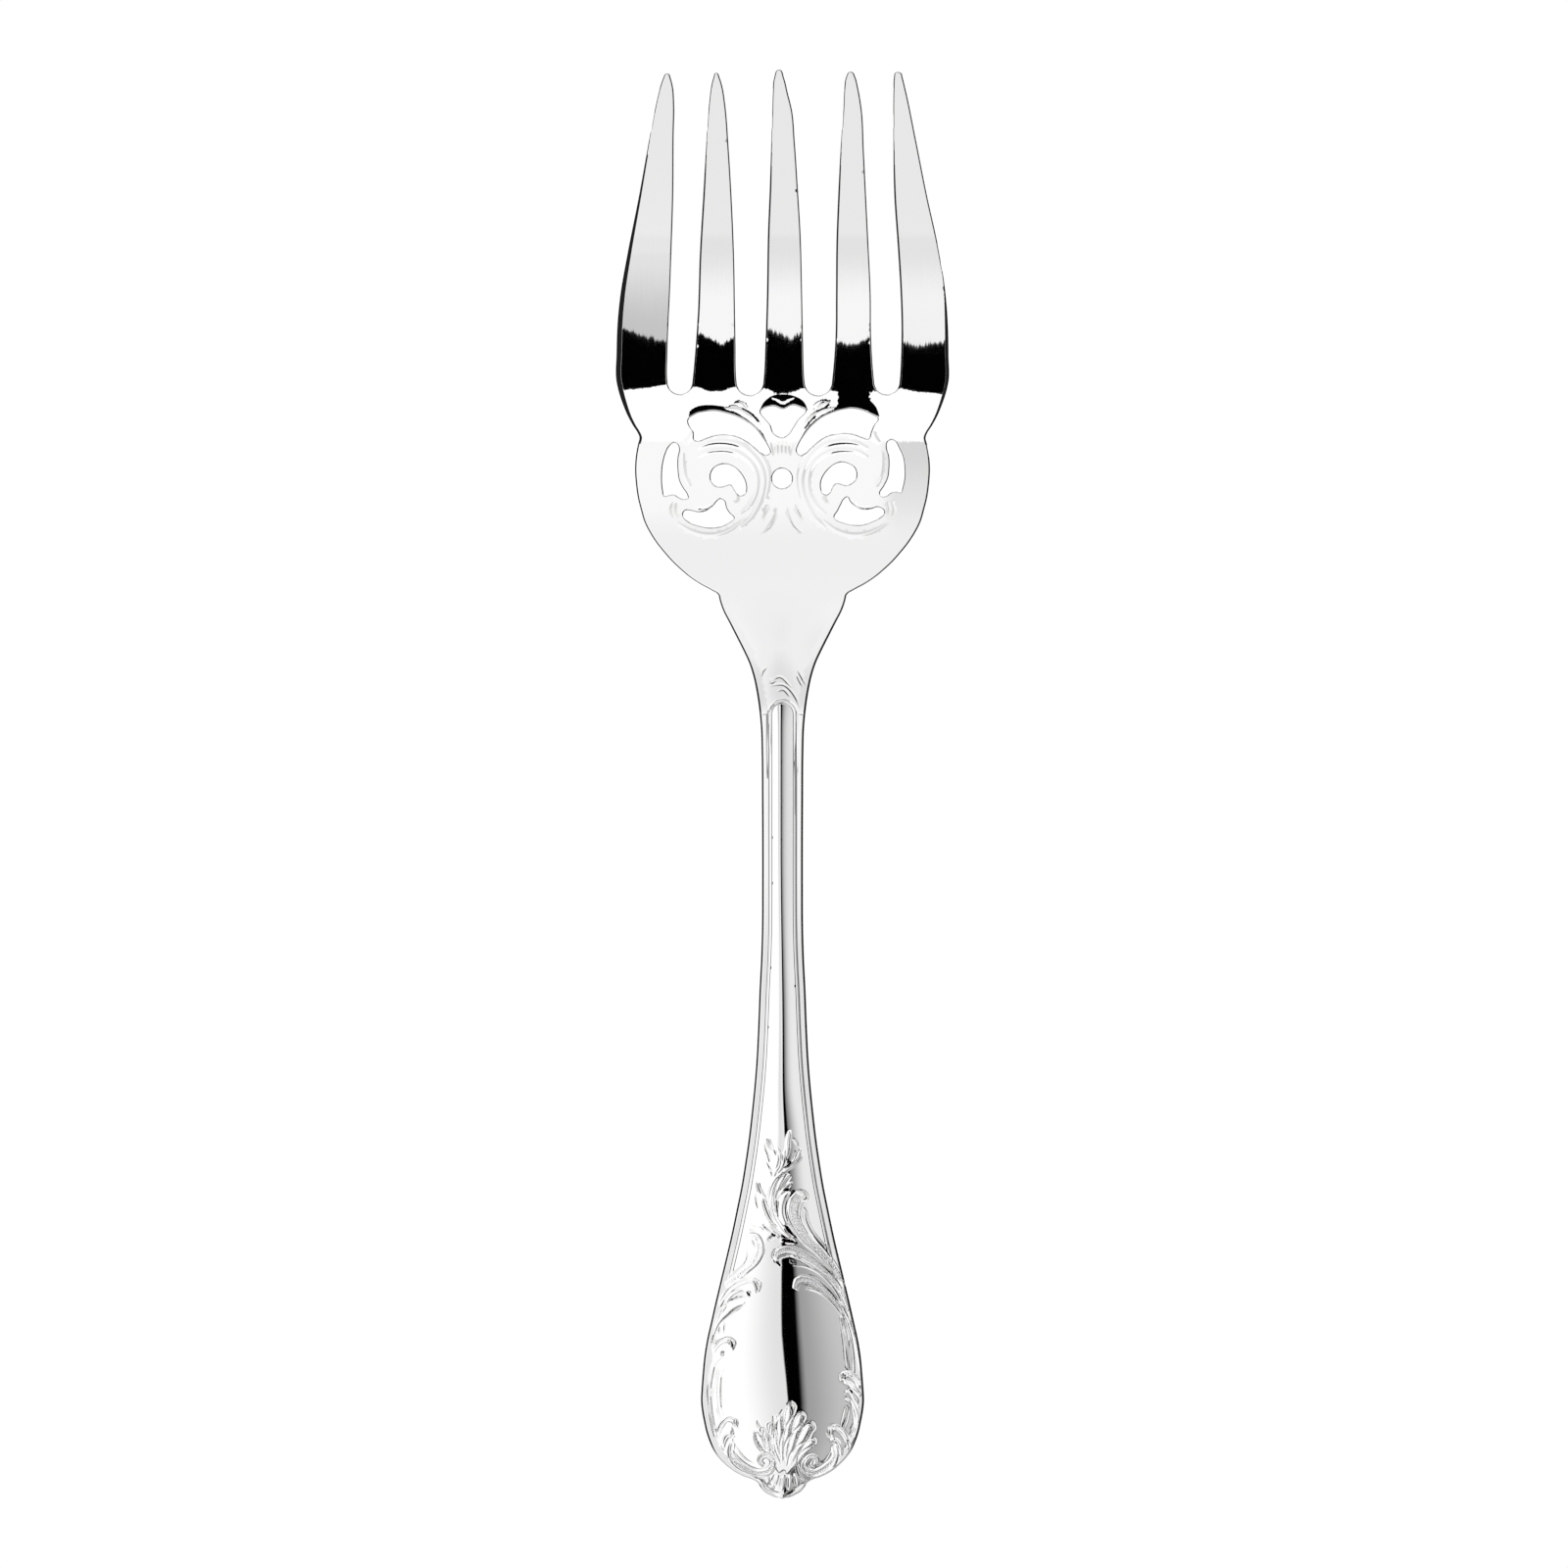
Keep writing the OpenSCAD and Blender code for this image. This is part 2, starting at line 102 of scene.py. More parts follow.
def across(y):
    """Millimetres to a square across the fork, by the place down the sheet."""
    head = mix(HEAD_W / HEAD_SQUARES, STEM_W / STEM_SQUARES, between(y, 600, 740))
    handle = mix(STEM_W / STEM_SQUARES, HANDLE_W / HANDLE_SQUARES, between(y, 980, 1240))
    return np.where(y < 760, head, handle)


def to_metal(points):
    p = np.asarray(points, float)
    return np.stack([(p[..., 0] - AXIS_X) * across(p[..., 1]), (MID_Y - p[..., 1]) * ALONG], -1)


def down_sheet(y_metal):
    return MID_Y - y_metal / ALONG


# Outline

# Half the width of the head, neck, stem and handle down the sheet, from the roots of the tines.
RIM = [
    (389, 169.5), (400, 167), (412, 163), (424, 158), (434, 152.5), (441, 148), (446, 146),
    (453, 147.5), (464, 149.5), (478, 150.5), (494, 149.5), (508, 147.5), (520, 144.5), (532, 141),
    (544, 135), (554, 128.5), (564, 120.5), (573, 112.5), (581, 104), (589, 94.5), (596, 84),
    (602, 73), (607, 65.5), (613, 64), (622, 61), (636, 54), (650, 47), (664, 40), (676, 34.5),
    (690, 30), (704, 27), (720, 24.5), (742, 22.3), (770, 21.5), (815, 21.2), (860, 21), (905, 21),
    (945, 21.2), (975, 22), (1010, 23.7), (1050, 25.2), (1085, 27), (1110, 29), (1135, 31.5),
    (1160, 34.3), (1185, 37.8), (1210, 41.8), (1235, 46.8), (1260, 52), (1285, 57.8), (1308, 63.3),
    (1330, 68.5), (1350, 73), (1368, 77), (1385, 79.7), (1402, 81.3), (1418, 82.5), (1430, 83),
    (1440, 82), (1451, 80), (1461, 77.8), (1471, 74.5), (1480, 70.5), (1487, 66), (1494, 59.5),
    (1500, 52.5), (1504, 46.5), (1508, 38), (1511, 29.5), (1514, 25), (1519, 22), (1523, 18.5),
    (1526, 13.5), (1528, 9), (1530, 3),
]

# Each tine down the sheet: y, its left edge and its right edge, from the tip to the root.
TINES = [
    [(76, 679, 683), (80, 677, 684.5), (90, 673.5, 687), (104, 670, 688), (140, 663, 687.5),
     (200, 652, 687), (260, 640, 685), (300, 633, 683.5), (330, 630, 682), (360, 629, 681),
     (389, 629, 681)],
    [(75, 730, 732), (80, 728, 734.5), (90, 725.5, 737.5), (106, 723.5, 740), (150, 720.5, 743.5),
     (200, 717.5, 746.5), (260, 714, 749), (320, 712, 750), (350, 710, 750.5), (389, 706.5, 751.5)],
    [(72, 793.5, 796.5), (80, 790, 800), (96, 788.5, 804), (112, 788, 808), (145, 787, 811),
     (190, 785.5, 814), (240, 783.5, 817), (300, 782.5, 818.5), (350, 781, 819.5),
     (389, 779, 821)],
    [(74, 866.5, 869.5), (80, 863, 873), (90, 861.5, 875.5), (110, 860.5, 879), (155, 857.5, 881.5),
     (205, 855, 884), (245, 853.5, 886), (300, 853, 888.5), (345, 852.5, 889), (389, 849, 892)],
    [(75, 913, 919.5), (80, 912, 921), (92, 911.5, 924), (140, 911.5, 934), (200, 912.5, 946),
     (250, 916, 957), (300, 919, 965), (335, 920, 967.5), (362, 919.5, 968), (389, 918, 968)],
]

# The piercing: two crescents, heart, two kidneys, two side slots and two leaves. The eye is round.
HOLES = [
    [(702, 429), (710, 422), (720, 419.5), (730, 419), (740, 421), (750, 424), (760, 429),
     (770, 436), (778, 446), (784, 456), (786, 461), (782, 464), (777, 462), (770, 456),
     (762, 450), (752, 445), (742, 443), (731, 443.5), (720, 447), (713, 449.5), (709, 449),
     (707.5, 440), (704, 435)],
    [(896, 427), (888, 422), (880, 418.5), (870, 416.5), (860, 417.5), (850, 420.5), (840, 425),
     (832, 431), (825, 438), (819, 446), (815, 453), (813, 460), (816, 464), (822, 462),
     (828, 456), (835, 450), (843, 445), (852, 442.5), (862, 441.5), (872, 443), (880, 446),
     (886, 447.5), (889, 440), (892, 433)],
    [(776, 419), (780, 416), (789, 414), (799, 417), (809, 413), (816, 415), (822, 418),
     (814, 428), (809, 436), (804, 443), (799, 446), (794, 445), (789, 441), (786, 433),
     (781, 427)],
    [(725, 486), (728, 478), (735, 474), (742, 473.5), (750, 477), (756, 483), (760, 490),
     (761.5, 498), (760.5, 503), (757, 505.5), (753, 504.5), (750, 500), (745, 494), (741, 495),
     (736, 496.5), (730, 495.5), (726, 491)],
    [(874, 484), (872, 477), (866, 473), (860, 471.5), (853, 473), (846, 478), (841, 484),
     (838, 491), (838, 499), (840, 503.5), (844, 504.5), (847, 502), (849, 497), (853, 493),
     (858, 493.5), (863, 495), (869, 493), (873, 489)],
    [(688, 451.5), (692, 454), (693, 458), (691.5, 466), (691.5, 480), (693, 490), (697, 498),
     (701, 504), (702, 508), (697, 509), (692, 507), (688, 504.5), (683, 505), (678, 506),
     (676.5, 500), (675.5, 486), (676.5, 473), (679, 463), (683, 455)],
    [(910, 448.5), (905.5, 451), (905, 457), (907, 464), (907.5, 478), (906, 488), (902, 496),
     (898, 504), (900, 506.5), (905, 505.5), (910, 502), (915, 501.5), (919, 502.5), (921, 497),
     (923, 487), (923, 477), (921.5, 466), (917, 456), (914, 450.5)],
    [(697, 524), (699, 521), (705, 521), (712, 522.5), (720, 521.5), (727, 517), (732, 511),
     (735, 509), (739, 511), (741, 518), (744, 523), (749, 528.5), (744, 533), (736, 537),
     (725, 538.5), (713, 536.5), (703, 532.5), (698, 528)],
    [(902, 521), (897, 517.5), (888, 519.5), (880, 520), (873, 517), (867, 511), (865, 507),
     (861, 509.5), (858, 515), (855, 521), (851.5, 528), (853, 530), (860, 533), (870, 535.5),
     (880, 535.5), (890, 532), (898, 528), (902, 524)],
]
EYE = (798, 488)
EYE_SQUARES = 10.2


def spline(points, closed=False, per_span=12):
    """A smooth line through points, with tangents that suit uneven spacing."""
    p = np.asarray(points, float)
    if closed:
        p = np.vstack([p[-1:], p, p[:2]])
    chord = np.maximum(np.linalg.norm(np.diff(p, axis=0), axis=1), 1e-6)
    slope = np.diff(p, axis=0) / chord[:, None]
    weight = (chord[:-1] / (chord[:-1] + chord[1:]))[:, None]
    inner = slope[:-1] * (1 - weight) + slope[1:] * weight
    tangent = np.vstack([slope[:1], inner, slope[-1:]])
    t = (np.arange(per_span) / per_span)[None, :, None]
    a, b = p[:-1, None], p[1:, None]
    ta = (tangent[:-1] * chord[:, None])[:, None]
    tb = (tangent[1:] * chord[:, None])[:, None]
    line = (
        a * (1 + 2 * t) * (1 - t) ** 2
        + ta * t * (1 - t) ** 2
        + b * t * t * (3 - 2 * t)
        + tb * t * t * (t - 1)
    )
    if closed:
        return line[1:-1].reshape(-1, 2)
    return np.vstack([line.reshape(-1, 2), p[-1:]])


def resample(line, step, closed=False):
    """Points along a line of millimetres, step apart. step may be one number for each point."""
    p = np.vstack([line, line[:1]]) if closed else line
    pace = np.broadcast_to(step, len(line)).astype(float)
    if closed:
        pace = np.append(pace, pace[0])
    length = np.linalg.norm(np.diff(p, axis=0), axis=1)
    walked = np.concatenate([[0], np.cumsum(length / ((pace[:-1] + pace[1:]) / 2))])
    count = max(int(round(walked[-1])), 3)
    at = np.linspace(0, walked[-1], count, endpoint=False) if closed else np.linspace(
        0, walked[-1], count + 1
    )
    return np.stack([np.interp(at, walked, p[:, k]) for k in (0, 1)], -1)


_dense_rim = spline(RIM, per_span=8)


def half(y):
    """Half the width in millimetres, from the roots of the tines down."""
    return np.interp(y, _dense_rim[:, 0], _dense_rim[:, 1]) * across(y)


def outer_loop():
    """The fork's outline in sheet squares: up and down each tine, round each root, down the rim."""
    points = []
    for i, tine in enumerate(TINES):
        points += [(left, y) for y, left, right in reversed(tine)]
        points += [(right, y) for y, left, right in tine]
        if i + 1 < len(TINES):
            left, right = tine[-1][2], TINES[i + 1][-1][1]
            middle, radius = (left + right) / 2, (right - left) / 2
            points += [
                (middle - radius * math.cos(a), ROOT_Y + radius * math.sin(a))
                for a in np.linspace(0, math.pi, 15)[1:-1]
            ]
    points += [(AXIS_X + w, y) for y, w in RIM[1:]]
    points += [(AXIS_X - w, y) for y, w in reversed(RIM[1:])]
    return points


def edge_step(sheet_points):
    """How far apart the outline's points stand, by place: wide along the tines, close on curves."""
    y = sheet_points[:, 1]
    tine = mix(0.22, 0.75, between(y, 84, 110)) * (1 - between(y, 350, 385))
    return np.where(y < 385, np.maximum(tine, 0.25), np.where((y > 740) & (y < 1080), 0.6, 0.3))


def boundary_loops():
    """Closed lines of millimetres, the outline first, each with the metal on its right."""
    loops = []
    sheet = spline(outer_loop(), closed=True)
    loops.append(resample(to_metal(sheet), edge_step(sheet), closed=True))
    for hole in HOLES:
        loops.append(resample(to_metal(spline(hole, closed=True)), 0.26, closed=True))
    turn = np.linspace(0, 2 * math.pi, 48, endpoint=False)
    radius = EYE_SQUARES * across(EYE[1])
    loops.append(to_metal(EYE) + radius * np.stack([np.cos(turn), np.sin(turn)], -1))
    turned = []
    for i, loop in enumerate(loops):
        x, y = loop.T
        area = np.sum(x * np.roll(y, -1) - y * np.roll(x, -1)) / 2
        keep = (area < 0) == (i == 0)
        turned.append(loop if keep else loop[::-1])
    return turned


def outward(loop):
    """Unit vectors away from the metal at a loop's points, which is to the left of its run."""
    along = np.roll(loop, -1, 0) - np.roll(loop, 1, 0)
    side = np.stack([-along[:, 1], along[:, 0]], -1)
    return side / np.linalg.norm(side, axis=1)[:, None]


# Heights

def under(y):
    """Height of the underside: tines curling up, flat head, and an arched handle."""
    rise = (END_Y - y) / (END_Y - ARCH_Y)
    arch = mix(ease(rise), np.sin(np.clip(rise, 0, 1) * math.pi / 2), 0.5)
    dip = ease((y - ROOT_Y) / (ARCH_Y - ROOT_Y))
    curl = (np.clip(ROOT_Y - y, 0, None) / (ROOT_Y - TIPS_Y)) ** 2
    return np.where(y > ARCH_Y, ARCH_H * arch, np.where(y > ROOT_Y, ARCH_H * dip, TIP_LIFT * curl))


def thick(y):
    tine = mix(TIP_T, HEAD_T, (y - TIPS_Y) / (ROOT_Y - TIPS_Y))
    head = mix(HEAD_T, STEM_T, between(y, 520, 740))
    handle = mix(STEM_T, END_T, between(y, 950, 1400))
    return np.where(y < ROOT_Y, tine, np.where(y < ARCH_Y, head, handle))


# How far in from the edge the smooth field begins.
FIELD_IN = 1.45
_field_y = np.arange(560, 1531, 2.0)
_blur = np.hanning(23) / np.hanning(23).sum()
_raw_field = np.maximum(half(_field_y) - FIELD_IN, 0.35 * half(_field_y))
_field_w = np.convolve(np.pad(_raw_field, 11, mode="edge"), _blur, mode="valid")


def field(y):
    """Half the width of the smooth field between the threads."""
    return np.interp(y, _field_y, _field_w)


def crest(y):
    """Where the top of the field runs: left of the centre line, and less so down the handle."""
    return ALONG * mix(-2.4, -0.4, between(y, 860, 1060))


def crown(x, y):
    """The rise of the field: a soft roof along the stem, a dome on the cartouche, a little off the
    centre line."""
    f = field(y)
    s = np.clip((x - crest(y) * (1 - (x / f) ** 2)) / f, -1, 1)
    soft = 0.3
    top = math.sqrt(1 + soft * soft)
    roof = (top - np.sqrt(s * s + soft * soft)) / (top - soft)
    dome = (1 - s * s) * (1 - 0.16 * s * between(y, 1100, 1280))
    stem = 0.55 * (1 - between(y, 1080, 1240))
    return CROWN * f * between(y, 600, 745) * mix(dome, roof, stem)


# The threads: how far in from the edge each starts, has its foot and ends, and its depth. Round
# the arch they are grooves. Down the handle the metal stays low from the foot out to the rim, so
# that they are two steps.
GROOVES = ((0.8, 1.08, 1.26, 0.105), (1.42, 1.62, 1.76, 0.068))
# Where the threads of both sides meet, where they take to the handle's own edge and where they end.
ARCH_TOP, THREAD_TOP, THREAD_END = 729, 850, 1312


def thread_in(x, y):
    """How far in from the handle's edge a place lies. Above the arch it is measured round it, so
    that the threads of both sides meet there."""
    guide = half(np.maximum(y, THREAD_TOP))
    slant = (half(y + 8.0) - half(y - 8.0)) / (16 * ALONG)
    flank = (guide - np.abs(x)) * np.where(y > THREAD_TOP, np.cos(np.arctan(slant)), 1)
    rise = np.maximum(ARCH_TOP - y, 0) * ALONG
    return np.where(rise > 0, guide - np.hypot(x, rise), flank)


def threads(x, y):
    """How far the threads lower the metal, as a height below 0: grooves at the arch, then steps."""
    d = thread_in(x, y)
    ends = between(y, 700, 722) * (1 - between(y, 1294, THREAD_END))
    stepped = between(y, 735, 800)
    cut = sum(
        depth * mix(between(d, start, foot), 1, stepped) * (1 - between(d, foot, end))
        for start, foot, end, depth in GROOVES
    )
    return -cut * ends


# Chased ornament

# Raised forms: half-width in squares, share of the relief, line.
RIDGES = [
    (2.8, 0.7, [(806, 1153), (804, 1163), (803, 1173), (799, 1185), (793, 1197)]),
    (2.2, 0.5, [(794, 1172), (795, 1180), (793, 1190), (789, 1201)]),
    (3.2, 0.6, [(817, 1172), (816, 1179), (809, 1187), (799, 1196)]),
    (1.8, 0.4, [(784, 1161), (787, 1170), (791, 1178)]),
    (1.5, 0.4, [(781, 1184), (785, 1192), (787, 1200)]),
    (3.2, 0.8, [(799, 1195), (791, 1204), (787, 1214), (786, 1226), (789, 1240), (796, 1252),
                (806, 1262)]),
    (2, 0.5, [(805, 1198), (798, 1205), (794, 1215)]),
    (2, 0.5, [(808, 1206), (802, 1211), (796, 1218)]),
    (5, 0.9, [(805, 1216), (799, 1226), (798, 1237), (802, 1249)]),
    (2, 0.5, [(774, 1206), (776, 1215), (780, 1223), (784, 1236), (790, 1249)]),
    (1.5, 0.3, [(766, 1248), (772, 1251), (779, 1255)]),
    (2.2, 0.5, [(780, 1250), (787, 1257), (794, 1262)]),
    (3, 0.5, [(760, 1329), (748, 1334), (737, 1345), (729, 1362)]),
    (2.6, 0.5, [(738, 1384), (730, 1390), (726, 1402), (725, 1420), (726, 1440), (730, 1462)]),
    (1.5, 0.3, [(734, 1396), (731, 1412), (731, 1430), (735, 1450)]),
    (1.5, 0.3, [(738, 1396), (735, 1412), (735, 1430), (738, 1446)]),
    (2.4, 0.6, [(750, 1466), (743, 1466), (739, 1472), (738, 1480)]),
    (1.5, 0.3, [(857, 1344), (861, 1362), (863, 1380), (865, 1398)]),
    (1.6, 0.4, [(861, 1343), (866, 1362), (869, 1382), (871, 1402)]),
    (2, 0.5, [(864, 1342), (871, 1358), (875, 1378), (878, 1400)]),
    (2.2, 0.6, [(861, 1411), (866, 1412), (872, 1418), (877, 1425)]),
    (2.2, 0.6, [(862, 1420), (867, 1420), (872, 1427), (876, 1437)]),
    (2.4, 0.6, [(863, 1428), (868, 1430), (872, 1440), (874, 1455), (871, 1466), (865, 1478)]),
    (1.5, 0.3, [(863, 1436), (861, 1447), (858, 1457)]),
    (2.4, 0.6, [(847, 1469), (853, 1470), (857, 1477), (858, 1485)]),
    (2, 0.4, [(789, 1505), (785, 1511), (781, 1516)]),
    (2, 0.4, [(794, 1506), (791, 1513), (789, 1520)]),
    (2, 0.4, [(800, 1506), (798, 1514), (797, 1522)]),
    (2, 0.4, [(806, 1505), (806, 1513), (805, 1521)]),
    (2, 0.4, [(811, 1504), (813, 1510), (814, 1517)]),
]

# Leaves and scrolls: share of the relief at the right and left edge, stippled or not, then those
# two edges, from the curl to the tip.
LEAVES = [
    (0.9, 0.5, 1, [(811, 1216), (805, 1223), (803, 1232), (804, 1243), (810, 1255), (821, 1268),
                   (833, 1279), (845, 1292), (854, 1303), (862, 1315)],
     [(823, 1222), (819, 1229), (817, 1238), (820, 1248), (827, 1259), (836, 1268), (844, 1277),
      (850, 1286), (856, 1296), (862, 1308)]),
    (0.5, 0.8, 1, [(795, 1291), (794, 1285), (801, 1281), (812, 1284), (827, 1292), (841, 1302),
                   (853, 1316), (864, 1338)],
     [(788, 1284), (791, 1275), (802, 1271), (815, 1274), (829, 1283), (843, 1294), (856, 1309),
      (867, 1333)]),
    (0.5, 0.8, 1, [(814, 1317), (815, 1312), (822, 1311), (832, 1315), (844, 1323), (855, 1334),
                   (866, 1350)],
     [(809, 1313), (812, 1304), (820, 1301), (831, 1304), (845, 1315), (857, 1330), (868, 1348)]),
    (0.4, 0.8, 1, [(763, 1262), (768, 1266), (769, 1275), (765, 1285), (758, 1293), (750, 1299),
                   (740, 1308)],
     [(763, 1258), (772, 1258), (779, 1267), (780, 1277), (775, 1288), (762, 1300), (742, 1315)]),
    (0.8, 0.4, 0, [(774, 1319), (777, 1310), (769, 1303), (757, 1304), (745, 1311), (734, 1326)],
     [(768, 1312), (766, 1309), (760, 1310), (752, 1314), (744, 1321), (735, 1334)]),
    (0.7, 0.4, 0, [(765, 1322), (762, 1317), (752, 1319), (743, 1327), (735, 1338), (729, 1354)],
     [(758, 1324), (754, 1322), (749, 1325), (743, 1331), (737, 1341), (731, 1357)]),
    (0.9, 0.5, 0, [(749, 1377), (751, 1369), (745, 1364), (736, 1366), (727, 1374)],
     [(744, 1375), (744, 1371), (741, 1370), (735, 1373), (728, 1383)]),
    (0.9, 0.5, 0, [(753, 1457), (753, 1450), (745, 1446), (737, 1451), (731, 1463)],
     [(748, 1456), (747, 1452), (743, 1451), (738, 1457), (733, 1469)]),
    (0.9, 0.6, 1, [(747, 1468), (743, 1478), (744, 1490), (752, 1499), (764, 1505), (777, 1507.5),
                   (787, 1505), (791, 1498), (791, 1490), (787, 1485), (781, 1483), (776, 1486),
                   (774, 1492), (778, 1497)],
     [(750, 1474), (750, 1483), (754, 1490), (761, 1495), (769, 1499), (776, 1500), (782, 1498),
      (785, 1494), (785, 1490), (782, 1488), (780, 1488), (779, 1489), (778, 1491), (780, 1493)]),
    (0.6, 0.9, 1, [(848, 1478), (849, 1485), (846, 1490), (841, 1494), (835, 1498), (829, 1500),
                   (825, 1498), (823, 1494), (825, 1490), (829, 1489), (831, 1492), (830, 1495)],
     [(853, 1472), (856, 1482), (854, 1492), (848, 1501), (838, 1507), (828, 1508), (820, 1503),
      (818, 1495), (821, 1488), (829, 1484), (835, 1488), (835, 1495)]),
    (0.5, 0.9, 0, [(864, 1410), (862, 1406), (866, 1405), (871, 1409), (876, 1417)],
     [(857, 1409), (857, 1402), (864, 1399), (872, 1403), (879, 1412)]),
    (0.5, 0.9, 0, [(850, 1466), (848, 1461), (853, 1460), (858, 1464), (863, 1473)],
     [(844, 1464), (845, 1457), (852, 1454), (860, 1459), (867, 1471)]),
]

# The shell: its lobes from the foot to the tip, half-width in squares at the tip.
SHELL_FOOT = (799, 1508)
SHELL = [
    ((772, 1462), 4.5), ((777, 1457), 4), ((785, 1452), 4.5), ((795, 1444), 4.5), ((806, 1435), 5),
    ((817, 1444), 5), ((826, 1455), 5), ((829, 1471), 4.5),
]

